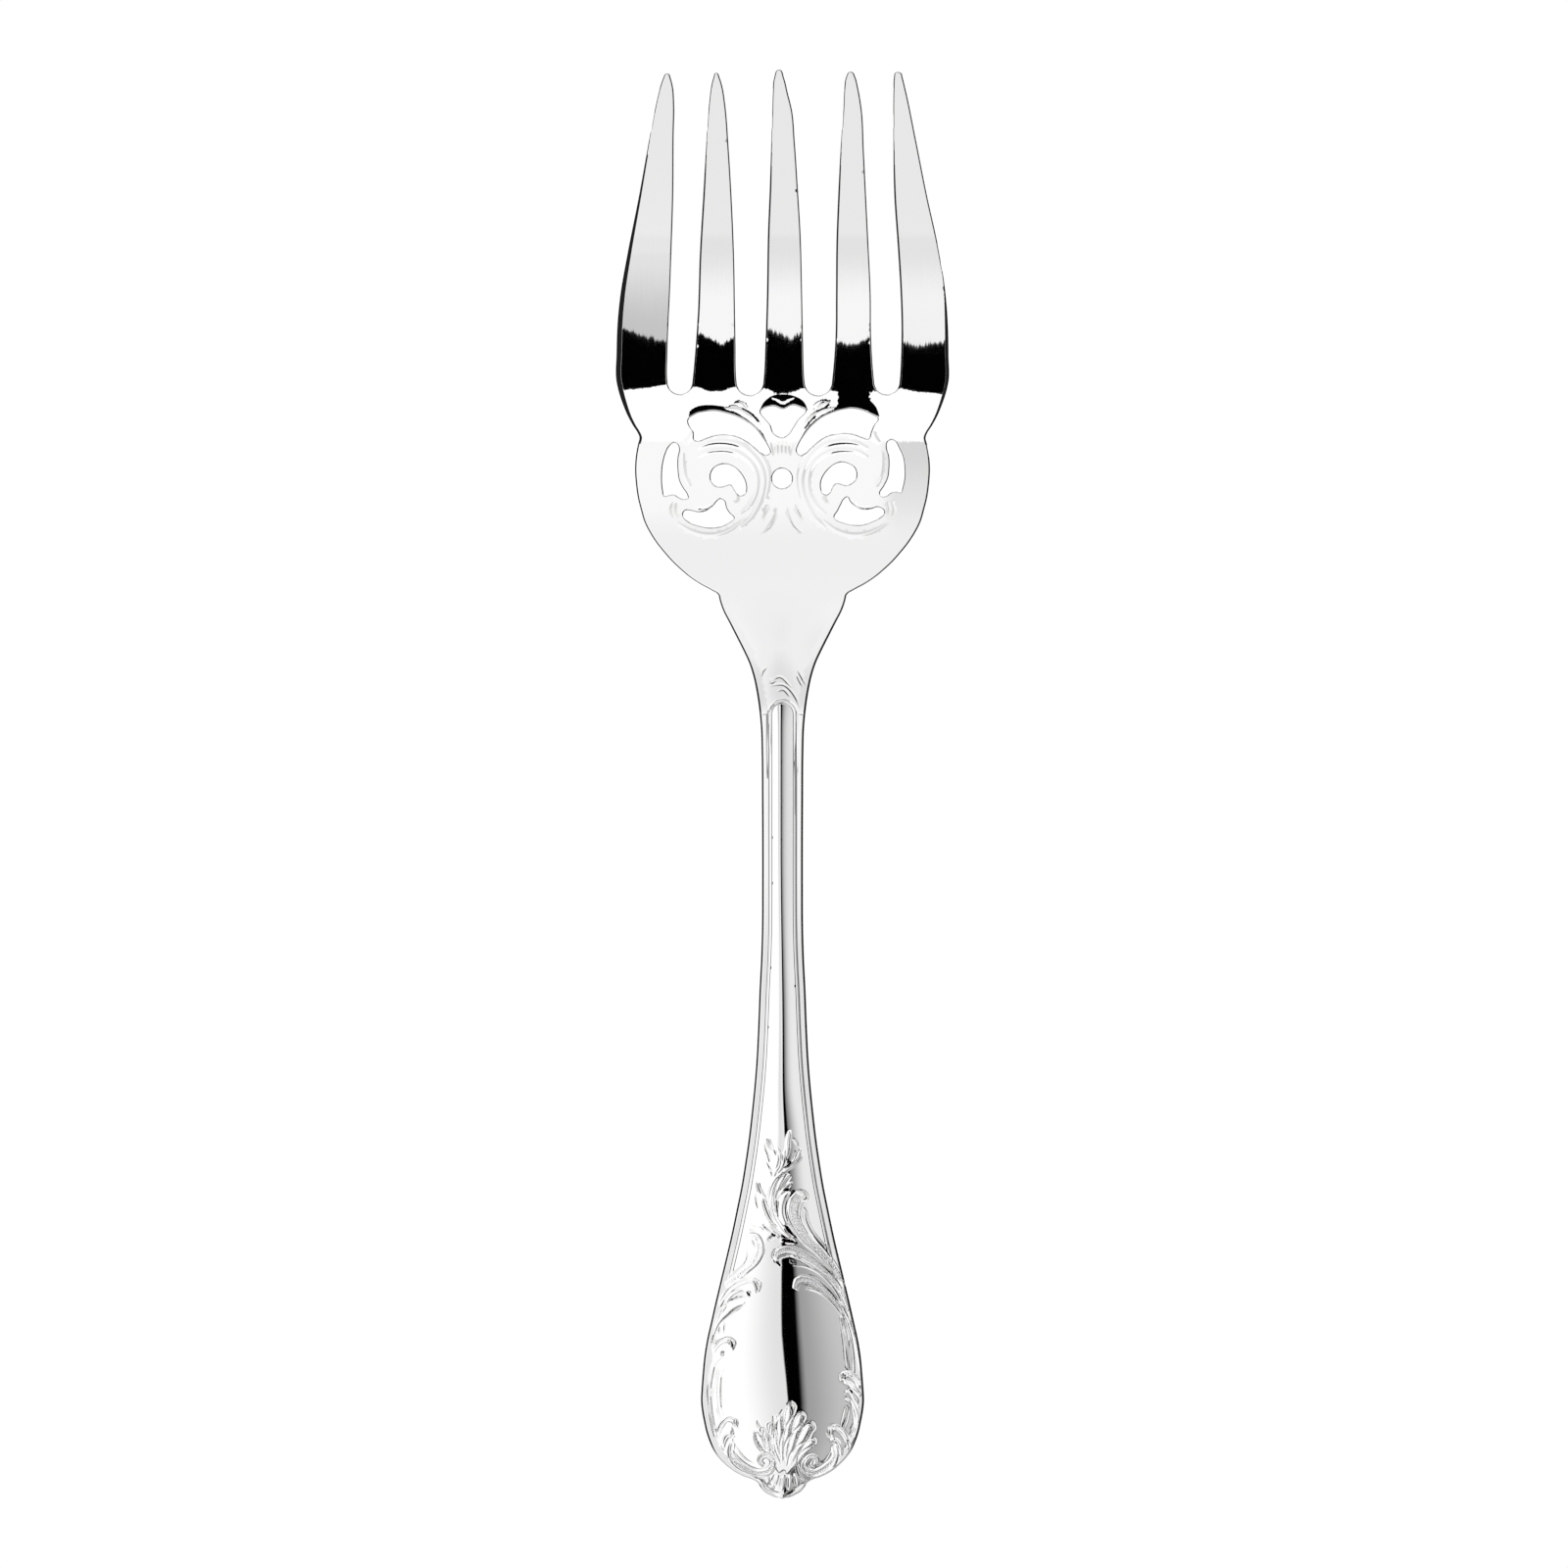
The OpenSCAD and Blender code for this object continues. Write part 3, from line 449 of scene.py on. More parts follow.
# Chased lines: half-width in squares, depth in millimetres, line.
FINE, LINE, BOLD = (1.0, 0.06), (1.25, 0.095), (1.8, 0.15)
HANDLE_LINES = {
    FINE: [
        [(780, 1164), (782, 1173), (787, 1184)],
        [(780, 1182), (785, 1191), (787, 1198)],
        [(783, 1175), (786, 1186)],
        [(809, 1161), (814, 1168)],
        [(811, 1174), (809, 1182), (805, 1188)],
        [(814, 1178), (811, 1183), (806, 1188)],
        [(771, 1217), (772, 1225), (774, 1234)],
        [(765, 1248), (770, 1251), (778, 1254)],
        [(765, 1254), (770, 1256)],
        [(761, 1263), (763, 1259), (769, 1257), (775, 1260), (779, 1268), (779, 1277),
         (775, 1288), (767, 1295), (758, 1301), (747, 1309)],
        [(766, 1263), (769, 1269), (770, 1277), (767, 1285), (761, 1292), (753, 1297)],
        [(761, 1274), (763, 1281), (760, 1289), (750, 1298), (741, 1309)],
        [(775, 1264), (777.5, 1270), (777, 1279), (772, 1289), (764, 1297), (755, 1303)],
        [(747, 1318), (756, 1316), (764, 1320)],
        [(740, 1348), (739, 1362)],
        [(735, 1352), (734, 1362)],
        [(726, 1370), (734, 1367), (741, 1365), (747, 1364)],
        [(730, 1396), (726, 1416), (727, 1437), (730, 1455)],
        [(733, 1393), (730, 1416), (732, 1445)],
        [(737, 1397), (736, 1422), (737, 1443)],
        [(731, 1470), (732, 1460), (737, 1451), (744, 1447), (750, 1448)],
        [(747, 1474), (750, 1483), (758, 1492), (767, 1498), (775, 1500), (781, 1498),
         (784, 1494)],
        [(751, 1474), (755, 1482), (762, 1490), (770, 1494)],
        [(856, 1344), (861, 1376), (862, 1397)],
        [(858, 1342), (861, 1361), (865, 1391), (866, 1402)],
        [(864, 1434), (862, 1446), (858, 1457)],
        [(866, 1436), (864, 1449), (860, 1460)],
        [(833, 1492), (841, 1491), (845, 1485), (848, 1480)],
        [(810, 1281), (821, 1285), (832, 1291), (843, 1300)],
        [(822, 1316), (825, 1313), (833, 1317), (845, 1324), (856, 1335)],
        [(818, 1225), (820, 1221), (824, 1219)],
        [(816, 1237), (818, 1246), (824, 1257), (834, 1268)],
    ],
    LINE: [
        [(793, 1173), (795, 1180), (794, 1188), (790, 1196)],
        [(797, 1174), (798, 1182), (796, 1191), (792, 1197)],
        [(818, 1172), (817, 1178), (813, 1184), (807, 1189), (800, 1194)],
        [(802, 1166), (802, 1176), (801, 1185), (799, 1191)],
        [(803, 1196), (793, 1202), (788, 1211), (785.5, 1222), (786, 1234), (790, 1245),
         (798, 1255)],
        [(804, 1197), (798, 1206), (794, 1216), (792, 1222)],
        [(807, 1200), (801, 1208), (796, 1215)],
        [(808, 1206), (804, 1211), (796, 1216)],
        [(772, 1205), (775, 1216), (780, 1222)],
        [(778, 1220), (780, 1231), (783, 1239), (787, 1246), (796, 1254)],
        [(807, 1220), (803, 1228), (802.5, 1237), (805.5, 1246), (812, 1257), (821, 1268),
         (833, 1278), (845, 1292), (854, 1303), (861, 1312)],
        [(811, 1215), (818, 1215), (823, 1219), (823, 1223), (819, 1225)],
        [(820, 1232), (822, 1236), (823, 1243), (828, 1255), (838, 1268), (845, 1275)],
        [(796, 1272), (807, 1271), (815, 1274), (827, 1281), (841, 1292), (854, 1306),
         (862, 1320)],
        [(796, 1272), (790, 1277), (789, 1283), (793, 1289)],
        [(793, 1286), (796, 1283), (803, 1281), (810, 1281)],
        [(796, 1278), (803, 1276), (810, 1277), (821, 1282), (829, 1287)],
        [(810, 1291), (821, 1292), (833, 1297), (845, 1306), (856, 1321), (864, 1340),
         (872, 1362), (877, 1392)],
        [(813, 1306), (816, 1302), (824, 1301), (835, 1306), (845, 1315), (854, 1327),
         (861, 1340), (867, 1352)],
        [(824, 1315), (833, 1317), (845, 1324), (854, 1334), (860, 1344)],
        [(749, 1308), (760, 1304), (769, 1304), (775, 1308), (777, 1313)],
        [(737, 1335), (746, 1327), (755, 1324), (763, 1323)],
        [(760, 1331), (753, 1336), (744, 1342), (737, 1348), (731, 1358), (727.5, 1368)],
        [(738, 1383), (732, 1387), (727.5, 1394), (724.5, 1406), (723.5, 1422), (724.5, 1437),
         (727.5, 1457), (730, 1468)],
        [(747, 1463), (741, 1465), (738, 1471), (738, 1478)],
        [(749, 1468), (744, 1475), (743, 1485), (746, 1492), (755, 1500), (766, 1504.5),
         (778, 1507), (787, 1504), (791, 1498), (791, 1491), (787, 1485), (780, 1483),
         (775, 1486), (773.5, 1492), (778, 1497)],
        [(867, 1368), (869, 1384), (870, 1399)],
        [(871, 1404), (864, 1400), (857, 1402)],
        [(864, 1411), (870, 1416), (876, 1422)],
        [(862, 1422), (864, 1418), (868, 1420), (873, 1428), (877, 1437)],
        [(861, 1429), (862, 1426), (867, 1429), (871, 1437), (873.5, 1449), (871, 1462),
         (866, 1474)],
        [(856, 1457), (848, 1455), (844, 1460), (845, 1465), (850, 1468)],
        [(856, 1456), (862, 1462), (866, 1471), (866, 1480)],
        [(851, 1469), (854.5, 1477), (855, 1486), (853, 1495), (847, 1503), (838, 1507),
         (827, 1506), (821, 1500), (820, 1492), (822, 1488), (828, 1486), (833, 1489),
         (834, 1495), (831, 1498)],
        [(828, 1491), (826, 1495), (829, 1497)],
        [(778, 1512), (781, 1518), (790, 1523), (799, 1524.5)],
        [(785, 1507), (784, 1512), (786, 1517)],
        [(792, 1508), (790, 1514), (791, 1520)],
        [(798, 1508), (797, 1515), (797, 1522)],
        [(804, 1508), (803, 1514), (804, 1521)],
        [(810, 1507), (810, 1513), (812, 1519)],
    ],
    BOLD: [
        [(783, 1161), (785, 1167), (790, 1176)],
        [(793.5, 1224), (792.5, 1231), (794, 1240)],
        [(779, 1249), (785, 1255), (791, 1260)],
        [(784, 1265), (791, 1260)],
        [(769, 1306), (772, 1313), (773, 1319)],
        [(765, 1317), (764, 1322)],
        [(745, 1340), (753, 1335), (758, 1332)],
        [(744, 1367), (747, 1375)],
        [(738, 1378), (737, 1384)],
        [(750, 1449), (752, 1456)],
        [(748, 1459), (747, 1466)],
        [(862, 1403), (860, 1408)],
        [(847, 1460), (848, 1466)],
        [(850, 1470), (853, 1475)],
        [(817, 1517), (807, 1522), (799, 1529)],
        [(813, 1493), (815, 1503), (818, 1508), (823, 1511)],
    ],
}
SHELL_LINES = [
    [(773, 1449), (774, 1454), (777, 1458)],
    [(770, 1460), (770.5, 1468), (773, 1475), (778, 1482)],
    [(780, 1457), (779.5, 1468), (782, 1480)],
    [(787, 1451), (785.5, 1468), (787, 1482)],
    [(789, 1444), (789.5, 1449), (788, 1463), (789, 1482)],
    [(799, 1438), (793, 1450), (790, 1462), (791, 1477), (796, 1491)],
    [(803, 1433), (807, 1430.5), (811, 1434), (809, 1443), (804, 1453), (798, 1465), (796, 1477),
     (797, 1488)],
    [(813, 1443), (818, 1441), (821.5, 1445), (819, 1451), (812, 1459), (804, 1468), (800, 1480),
     (801, 1493)],
    [(822, 1453), (828.5, 1451), (831.5, 1457), (828, 1462), (825, 1468), (815, 1475), (807, 1483),
     (803, 1496)],
    [(825, 1468.5), (831, 1468), (832, 1472), (828.5, 1475), (821, 1480), (815, 1486), (813, 1494)],
]
# Wedges cut deep beside the leaves, each as half-width in squares, depth and line.
HOLLOWS = [
    (3.2, 0.26, [(802, 1249), (805, 1256), (810, 1261)]),
    (3.5, 0.16, [(800, 1265), (806, 1266), (811, 1268)]),
    (1.8, 0.14, [(807, 1431), (808, 1435), (809, 1440)]),
]

# Head and neck. The head's lines are drawn for its left half and mirrored.
HEAD_RIDGES = [
    (3, 0.35, [(712, 457), (723, 452), (739, 450.5), (755, 454), (767, 463), (776, 475),
               (779.5, 489), (778, 502), (773, 516), (766, 528), (755, 538)]),
    (2.4, 0.3, [(712, 466), (721, 461), (733, 459), (747, 460), (758, 465), (767, 473),
                (772, 484), (772.5, 496), (769, 509), (762, 518), (755, 524)]),
    (1.8, 0.25, [(767, 456), (778, 467), (784, 481), (784, 495), (781, 508)]),
    (2.2, 0.25, [(692, 534), (708, 543), (726, 546), (744, 541), (757, 531)]),
    (2, 0.25, [(700, 452), (704, 446), (706, 440)]),
    (1.6, 0.25, [(697, 462), (697, 474), (699, 486), (704, 496)]),
]
HEAD_LINES = {
    FINE: [
        [(740, 416), (758, 418), (768, 424), (777, 433)],
        [(750, 411), (757, 411), (763, 417)],
        [(791, 451), (791, 462)],
        [(794.5, 449), (794.5, 463)],
        [(798.5, 448), (798.5, 463)],
        [(787, 450), (789, 458), (790, 465)],
        [(793, 518), (791, 527), (785, 538), (778, 544)],
        [(785, 515), (778, 529)],
        [(687, 512), (685, 520), (687, 528)],
        [(691, 513), (690, 520), (691, 526)],
        [(752, 500), (754, 508), (751, 513)],
    ],
}
NECK_LINES = {
    FINE: [
        [(785, 697), (795, 691), (808, 702)],
        [(786, 700), (799, 699), (812, 712), (816, 722)],
        [(786, 692), (787, 697), (792, 694)],
        [(782, 681), (778, 686), (777, 691)],
        [(793, 706), (799, 704), (806, 711)],
        [(813, 689), (819, 701)],
        [(814, 684), (823, 700)],
        [(785, 725), (788, 720), (792, 718)],
    ],
}
# Lips of the upper piercings that are shaded as if level, each between its outer line and one near
# the hole's edge. They are in the normals only.
FACETS = [
    ([(702.5, 426), (703.5, 420), (711.5, 414.5), (721, 413), (735, 414), (744, 415.5),
      (757.5, 422.5), (769, 431), (778.5, 442), (786, 458)],
     [(703.5, 427), (706, 425), (710.5, 422.5), (719, 420.5), (730, 420), (741.5, 421.5),
      (753, 426), (765, 434.5), (775.5, 445), (784, 458)]),
    ([(897.5, 424), (893.5, 414.5), (884, 406.5), (872, 407), (860, 410), (849.5, 417.5),
      (838, 423.5), (826.5, 433), (817.5, 446), (813.5, 460)],
     [(895.5, 425.5), (890, 422), (884, 419.5), (872.5, 417.5), (861, 418.5), (849.5, 422),
      (838, 428.5), (827, 438), (819.5, 449), (815, 460)]),
    ([(774.5, 419), (780.5, 409), (787.5, 404), (799, 402.5), (810.5, 404), (819.5, 409),
      (825, 419)],
     [(777, 419.5), (781.5, 416.5), (789, 414.5), (799, 417), (808, 414), (816.5, 415.5),
      (822, 419)]),
    ([(857, 396), (866, 396), (875, 396), (885, 396)],
     [(853, 421), (863, 418), (875, 418), (890, 421)]),
    ([(757, 415.6), (766, 420.3), (775, 429.8)], [(757.6, 417.4), (765.2, 422.2), (773.8, 431.2)]),
    ([(749, 410), (756, 409.8), (763.8, 414.8)], [(749.3, 411.6), (756, 411.6), (762.8, 416.5)]),
    ([(828, 415.8), (834, 409.8), (844, 407.2)], [(829.5, 417.6), (835, 412), (844.6, 409)]),
    ([(833, 418.2), (840, 416.2), (845.4, 410.8)], [(833.5, 420), (841, 418), (846.8, 412)]),
    ([(820, 436.8), (830, 424.2), (838, 419.8)], [(821.3, 438), (831.2, 426), (838.6, 421.6)]),
    ([(867.5, 509.6), (874, 515.9), (884, 518.1), (895.5, 517.3)],
     [(867.8, 511.4), (874.5, 517.6), (884, 519.9), (895.5, 519)]),
    ([(712, 518.6), (720, 518.6), (728.5, 514.2)], [(712, 520.3), (720.5, 520.3), (729.5, 515.8)]),
]
# Dark hollows of the sprig, the scrolls and the curls. They too are only shaded as if level, and
# have no depth.
HANDLE_FACETS = [
    ([(800.5, 1248), (801, 1253), (805, 1258.5), (812.5, 1263)],
     [(801, 1247.5), (805, 1251.5), (808.5, 1256), (813, 1262.5)]),
    ([(796.5, 1263.5), (802, 1263), (807, 1264), (813, 1267)],
     [(797.5, 1266.5), (802, 1267.5), (807, 1268), (812.5, 1269)]),
    ([(792.6, 1223), (791.8, 1230), (792.3, 1236), (794, 1242)],
     [(793.4, 1223), (793.8, 1230), (794.4, 1236), (794.6, 1242)]),
    ([(786, 1260), (788.5, 1261.5), (791.5, 1262)], [(788, 1257.5), (790, 1258.8), (792, 1260.5)]),
    ([(805, 1284.5), (808.5, 1285.5), (812, 1288.5)],
     [(805.5, 1288), (808.5, 1289.5), (812, 1290)]),
    ([(791, 1286.5), (792.5, 1290), (796, 1293)], [(793, 1286), (795.5, 1288.5), (797.5, 1290.5)]),
    ([(768.5, 1306), (771, 1312), (773.5, 1319)], [(770, 1306.5), (772.8, 1312), (774, 1318.5)]),
    ([(761.5, 1318.5), (763, 1321), (765.5, 1323.5)],
     [(763.5, 1317.5), (765.5, 1319.5), (766, 1322.5)]),
    ([(789, 1173), (789.8, 1175), (790.6, 1177)], [(787.5, 1171), (789, 1172.5), (790.8, 1174.5)]),
    ([(800.2, 1190.5), (803, 1188.5), (806.5, 1184)],
     [(801.5, 1192), (805, 1189.5), (807.8, 1185)]),
    ([(799.5, 1212.5), (803, 1211.5), (806, 1213)],
     [(801, 1215), (803.5, 1215.2), (805.5, 1214.5)]),
    ([(805, 1220), (808, 1216), (811, 1214)], [(806, 1221.5), (809, 1218), (811.5, 1215.5)]),
    ([(744.3, 1365.5), (745.8, 1371), (747.6, 1378.5)],
     [(746, 1366), (748.6, 1371), (749.2, 1378)]),
    ([(736.5, 1379), (738, 1381.5)], [(738, 1377.5), (740, 1380)]),
    ([(750.8, 1448.5), (751, 1452), (751.8, 1456)], [(752.2, 1448.5), (753, 1452), (753, 1455.5)]),
    ([(746, 1457), (747.5, 1462)], [(748, 1456), (749.5, 1461)]),
    ([(861, 1402), (861.2, 1408)], [(863, 1402), (863, 1407.5)]),
    ([(864.8, 1416), (867, 1419.5), (870, 1422.5)], [(866, 1415.5), (868.5, 1418), (870.5, 1421)]),
    ([(847.9, 1458.5), (848.2, 1464.5)], [(849.8, 1458.5), (850, 1464)]),
    ([(849, 1470.5), (851.5, 1468)], [(850, 1472), (852.5, 1469.5)]),
    ([(797.5, 1529.5), (803, 1524), (811, 1519)], [(801, 1528), (805, 1525.5), (811.5, 1521.2)]),
]
# Fine strokes across the lips that keep the normals of their slope.
GLEAMS = [
    (1.2, [(788, 406), (793, 408), (799, 411), (805, 408), (810, 406)]),
    (1, [(739.5, 415.5), (751, 418), (762, 425), (776, 438)]),
    (1, [(750, 412), (758, 412), (763.5, 416.5)]),
    (1, [(828, 417), (836, 411), (844, 409)]),
    (1.2, [(833, 424), (843, 417), (853, 414.5)]),
]
# Where the dark reflection has to begin and end, on four places across each tine. tine_lean() turns
# the normals to bring it there.
BAND_TOP, BAND_FOOT = 345, 398.5
BAND_TOPS = [[330, 339, 345, 347], [337, 344, 350, 342], [333, 340, 346, 339],
             [347, 352, 350, 343], [348, 354, 351, 347]]
BAND_FEET = [[399, 397, 395, 389], [394, 399, 399, 394], [396, 402, 401, 396],
             [399, 403, 403, 400], [396, 400, 401, 404]]

CELL = 0.05
MARGIN = 1.0
# How far in from the handle's edge the mesh gets a line of points.
THREAD_ROWS = (0.57, 0.68, 0.8, 0.87, 0.94, 1.01, 1.08, 1.13, 1.17, 1.21, 1.26, 1.34, 1.42, 1.47,
               1.52, 1.57, 1.62, 1.66, 1.69, 1.72, 1.76, 1.84, 1.95)
# Shares of a stroke's half-width at which the mesh gets a line of points.
STROKE_SIDES = np.array([-1, -0.55, 0, 0.55, 1])


class Raster:
    """Heights and masks on a fine grid over the plan, in millimetres."""

    def __init__(self):
        wide = HEAD_W / 2 + MARGIN
        self.x0, self.y0 = -wide, float(to_metal((0, END_Y))[1]) - MARGIN
        top = float(to_metal((0, ROOT_Y))[1]) + MARGIN
        self.columns = int(2 * wide / CELL) + 1
        self.rows = int((top - self.y0) / CELL) + 1

    def blank(self):
        return np.zeros(self.rows * self.columns, np.float32)

    def cells(self, points):
        column = np.rint((points[..., 0] - self.x0) / CELL).astype(np.int64)
        row = np.rint((points[..., 1] - self.y0) / CELL).astype(np.int64)
        column = np.clip(column, 0, self.columns - 1)
        row = np.clip(row, 0, self.rows - 1)
        return (row * self.columns + column).ravel()

    def blurred(self, flat, cells):
        image = flat.reshape(self.rows, self.columns)
        reach = max(int(math.ceil(cells * 2.5)), 1)
        weights = np.exp(-0.5 * (np.arange(-reach, reach + 1) / cells) ** 2)
        weights /= weights.sum()
        for axis in (0, 1):
            total = np.zeros_like(image)
            for shift, weight in zip(range(-reach, reach + 1), weights):
                total += np.float32(weight) * np.roll(image, shift, axis)
            image = total
        return image

    def read(self, image, points):
        """Values of an image at points, between its cells."""
        c = np.clip((points[:, 0] - self.x0) / CELL, 0, self.columns - 1.001)
        r = np.clip((points[:, 1] - self.y0) / CELL, 0, self.rows - 1.001)
        ci, ri = c.astype(int), r.astype(int)
        cf, rf = c - ci, r - ri
        low = image[ri, ci] * (1 - cf) + image[ri, ci + 1] * cf
        high = image[ri + 1, ci] * (1 - cf) + image[ri + 1, ci + 1] * cf
        return low * (1 - rf) + high * rf


def mirrored(line):
    return [(2 * AXIS_X - x, y) for x, y in line]


def ribbon(line, half_width, ends, step, sides):
    """Places of the metal under a stroke, by its run and its side from -1 to 1, and its swell."""
    path = resample(to_metal(spline(line)), step)
    swell = ends + (1 - ends) * np.sin(np.pi * np.linspace(0, 1, len(path))) ** 0.6
    run = np.gradient(path, axis=0)
    aside = np.stack([run[:, 1], -run[:, 0]], -1)
    aside /= np.maximum(np.linalg.norm(aside, axis=1), 1e-9)[:, None]
    reach = half_width * ALONG * swell
    points = path[:, None] + aside[:, None] * (sides[None, :, None] * reach[:, None, None])
    return points, swell[:, None]


def ruled(first, second, steps, sides):
    """Places between two drawn lines of as many points, by step along them and by side, which goes
    from 0 on the first to 1 on the second."""
    a = resample_count(to_metal(spline(first, per_span=20)), steps)
    b = resample_count(to_metal(spline(second, per_span=20)), steps)
    return a[:, None] + (b - a)[:, None] * sides[None, :, None]


def resample_count(line, count):
    pick = np.linspace(0, len(line) - 1, count)
    return np.stack([np.interp(pick, np.arange(len(line)), line[:, k]) for k in (0, 1)], -1)


class Relief:
    """Everything chased into the face: its height, its masks and lines of points that follow it."""

    def __init__(self, raster):
        self.raster = raster
        self.high, self.deep, self.ground, self.cover, self.level = (
            raster.blank() for _ in range(5)
        )
        self.lines = []
        self.chase_handle()
        self.chase_head()
        raw = self.high + self.deep
        self.height = raster.blurred(raw, 1.3)
        self.slope_up, self.slope_right = np.gradient(self.height, CELL)
        self.busy = raster.blurred((np.abs(raw) > 0.001).astype(np.float32), 3)
        self.ground = raster.blurred(self.ground, 1.5)
        self.cover = raster.blurred(self.cover, 2.5)
        self.level = raster.blurred(self.level, 0.8)

    def put(self, image, points, values, reduce=np.maximum):
        values = np.broadcast_to(values, points.shape[:2]).astype(np.float32)
        reduce.at(image, self.raster.cells(points), values.ravel())

    def follow(self, points):
        self.lines.append(points.reshape(-1, 2))

    def stroke(self, image, half_width, height, line, ends, reduce):
        sides = np.linspace(-1, 1, max(int(2 * half_width * ALONG / 0.03), 5))
        points, swell = ribbon(line, half_width, ends, 0.03, sides)
        self.put(image, points, height * swell * (1 - sides**2), reduce)
        self.follow(ribbon(line, half_width, ends, 0.2, STROKE_SIDES)[0])

    def ridge(self, half_width, share, line):
        self.stroke(self.high, half_width, share * RELIEF, line, 0.3, np.maximum)

    def cut(self, half_width, depth, line):
        self.stroke(self.deep, half_width, -depth, line, 0.2, np.minimum)

    def leaf(self, high_right, high_left, stippled, right, left):
        s = np.linspace(0, 1, 90)
        steps = 40 * len(right)
        t = np.linspace(0, 1, steps)[:, None]
        swell = 0.35 + 0.65 * np.sin(np.pi * np.clip(t, 0.02, 0.98)) ** 0.7
        points = ruled(right, left, steps, s)
        hump = [np.clip(1 - (2 * q / 0.36 - 1) ** 2, 0, 1) for q in (s, 1 - s)]
        flat = 0.35 * np.clip(np.minimum(s, 1 - s) / 0.15, 0, 1)
        profile = np.maximum(high_right * hump[0], high_left * hump[1])
        self.put(self.high, points, RELIEF * swell * np.maximum(profile, flat))
        self.put(self.cover, points, 1)
        if stippled:
            inside = (s > 0.3) & (s < 0.72) & (t > 0.08)
            self.put(self.ground, points, inside)
        run = np.linalg.norm(np.diff(points[:, 45], axis=0), axis=1).sum()
        self.follow(ruled(right, left, int(run / 0.2), np.array([0, 0.06, 0.18, 0.3, 0.5, 0.7, 0.82,
                                                                 0.94, 1])))

    def lobe(self, tip, width):
        foot, tip = to_metal(SHELL_FOOT), to_metal(tip)
        t = np.linspace(0.12, 1, 300)[:, None]
        path = foot + (tip - foot) * t
        round_end = np.sqrt(np.clip(1 - np.clip((t - 0.82) / 0.2, 0, 1) ** 2, 0.02, 1))
        reach = width * ALONG * (0.3 + 0.7 * t) * round_end
        run = (tip - foot) / np.linalg.norm(tip - foot)
        s = np.linspace(-1, 1, 80)
        points = path[:, None] + np.array([run[1], -run[0]]) * (s * reach)[..., None]
        self.put(self.high, points, RELIEF * (0.4 + 0.5 * t) * (1 - s * s))
        self.put(self.cover, points, 1)
        self.put(self.ground, points, (np.abs(s) > 0.55) & (t > 0.3))

    def facet(self, outer, inner):
        """A lip or a hollow shaded as if level. It turns the normals, leaves the height alone and
        lays points for the change of tone to fall on."""
        self.put(self.level, ruled(outer, inner, 60 * len(outer), np.linspace(0, 1, 80)), 1)
        steps = 8 * len(outer)
        self.follow(ruled(outer, inner, steps, np.array([-0.04, 0.04, 0.5, 0.95])))

    def gleam(self, half_width, line):
        """A fine stroke across a lip that keeps the normals of its slope."""
        sides = np.linspace(-1, 1, 21)
        points, swell = ribbon(line, half_width, 0.3, 0.03, sides)
        self.put(self.level, points, 0, np.minimum)
        self.follow(ribbon(line, half_width, 0.3, 0.18, np.array([-1.15, -0.85, 0, 0.85, 1.15]))[0])

    def chase_handle(self):
        for half_width, share, line in RIDGES:
            self.ridge(half_width, share, line)
        for part in LEAVES:
            self.leaf(*part)
        for tip, width in SHELL:
            self.lobe(tip, width)
        for weight, lines in HANDLE_LINES.items():
            for line in lines:
                self.cut(*weight, line)
        for line in SHELL_LINES:
            self.cut(*LINE, line)
        for half_width, depth, line in HOLLOWS:
            self.cut(half_width, depth, line)
        for outer, inner in HANDLE_FACETS:
            self.facet(outer, inner)

    def chase_head(self):
        for half_width, share, line in HEAD_RIDGES:
            self.ridge(half_width, share, line)
            self.ridge(half_width, share, mirrored(line))
        for weight, lines in HEAD_LINES.items():
            for line in lines:
                self.cut(*weight, line)
                self.cut(*weight, mirrored(line))
        for weight, lines in NECK_LINES.items():
            for line in lines:
                self.cut(*weight, line)
        for outer, inner in FACETS:
            self.facet(outer, inner)
        for half_width, line in GLEAMS:
            self.gleam(half_width, line)


# Mesh

RING_SHARES = (0, 0.2, 0.4, 0.6, 0.8, 0.97, 1, 1.2)
UNDER_RADIUS = 0.3
BEVEL_SLOPE = 0.72
# The roll of the edge round a hole, and the width of bevel above which an edge has no roll in its
# normals.
HOLE_RADIUS = 0.2
BEVELLED = 0.1
# How far round to the side an edge turns, as the sine of its lean, and how far the metal falls
# on the way, in shares of the edge's width. Below 0.7, an edge seen from above mirrors the horizon
# and not the floor.
TURN = 0.66
EDGE_STEPS = np.linspace(0, 1, 41)
EDGE_LEAN = TURN * (1 - EDGE_STEPS**4)
EDGE_SLOPE = EDGE_LEAN / np.sqrt(1 - EDGE_LEAN**2)
EDGE_FALL = np.cumsum(EDGE_SLOPE[::-1])[::-1] / len(EDGE_STEPS)
GRID = 0.15
# Where the handle's ornament begins, down the sheet.
HANDLE_CHASED = 1140


def edge_radius(y):
    rim = mix(0.24, 0.31, between(y, 380, 460)) + 0.11 * between(y, 590, 660)
    return rim - 0.12 * between(y, 1470, 1500)


def edge_bevel(sheet_x, y, side):
    """Width of the bevel inside an edge. The outer edges of the head are bevelled broadly, the
    left edges of the tines a little, and the handle not at all."""
    left, right = np.clip(-side[:, 0], 0, 1), np.clip(side[:, 0], 0, 1)
    outer_left = mix(0.3, 0.9, between(y, 150, 340)) - 0.45 * between(y, 395, 446)
    outer_right = 0.6 * between(y, 250, 350) - 0.25 * between(y, 395, 446)
    inner_left = 0.3 * between(y, 90, 200)
    width = np.where(sheet_x < 660, left * outer_left, left * inner_left)
    width = np.where(sheet_x > 930, right * outer_right, width)
    return np.where(y < 452, width, 0)


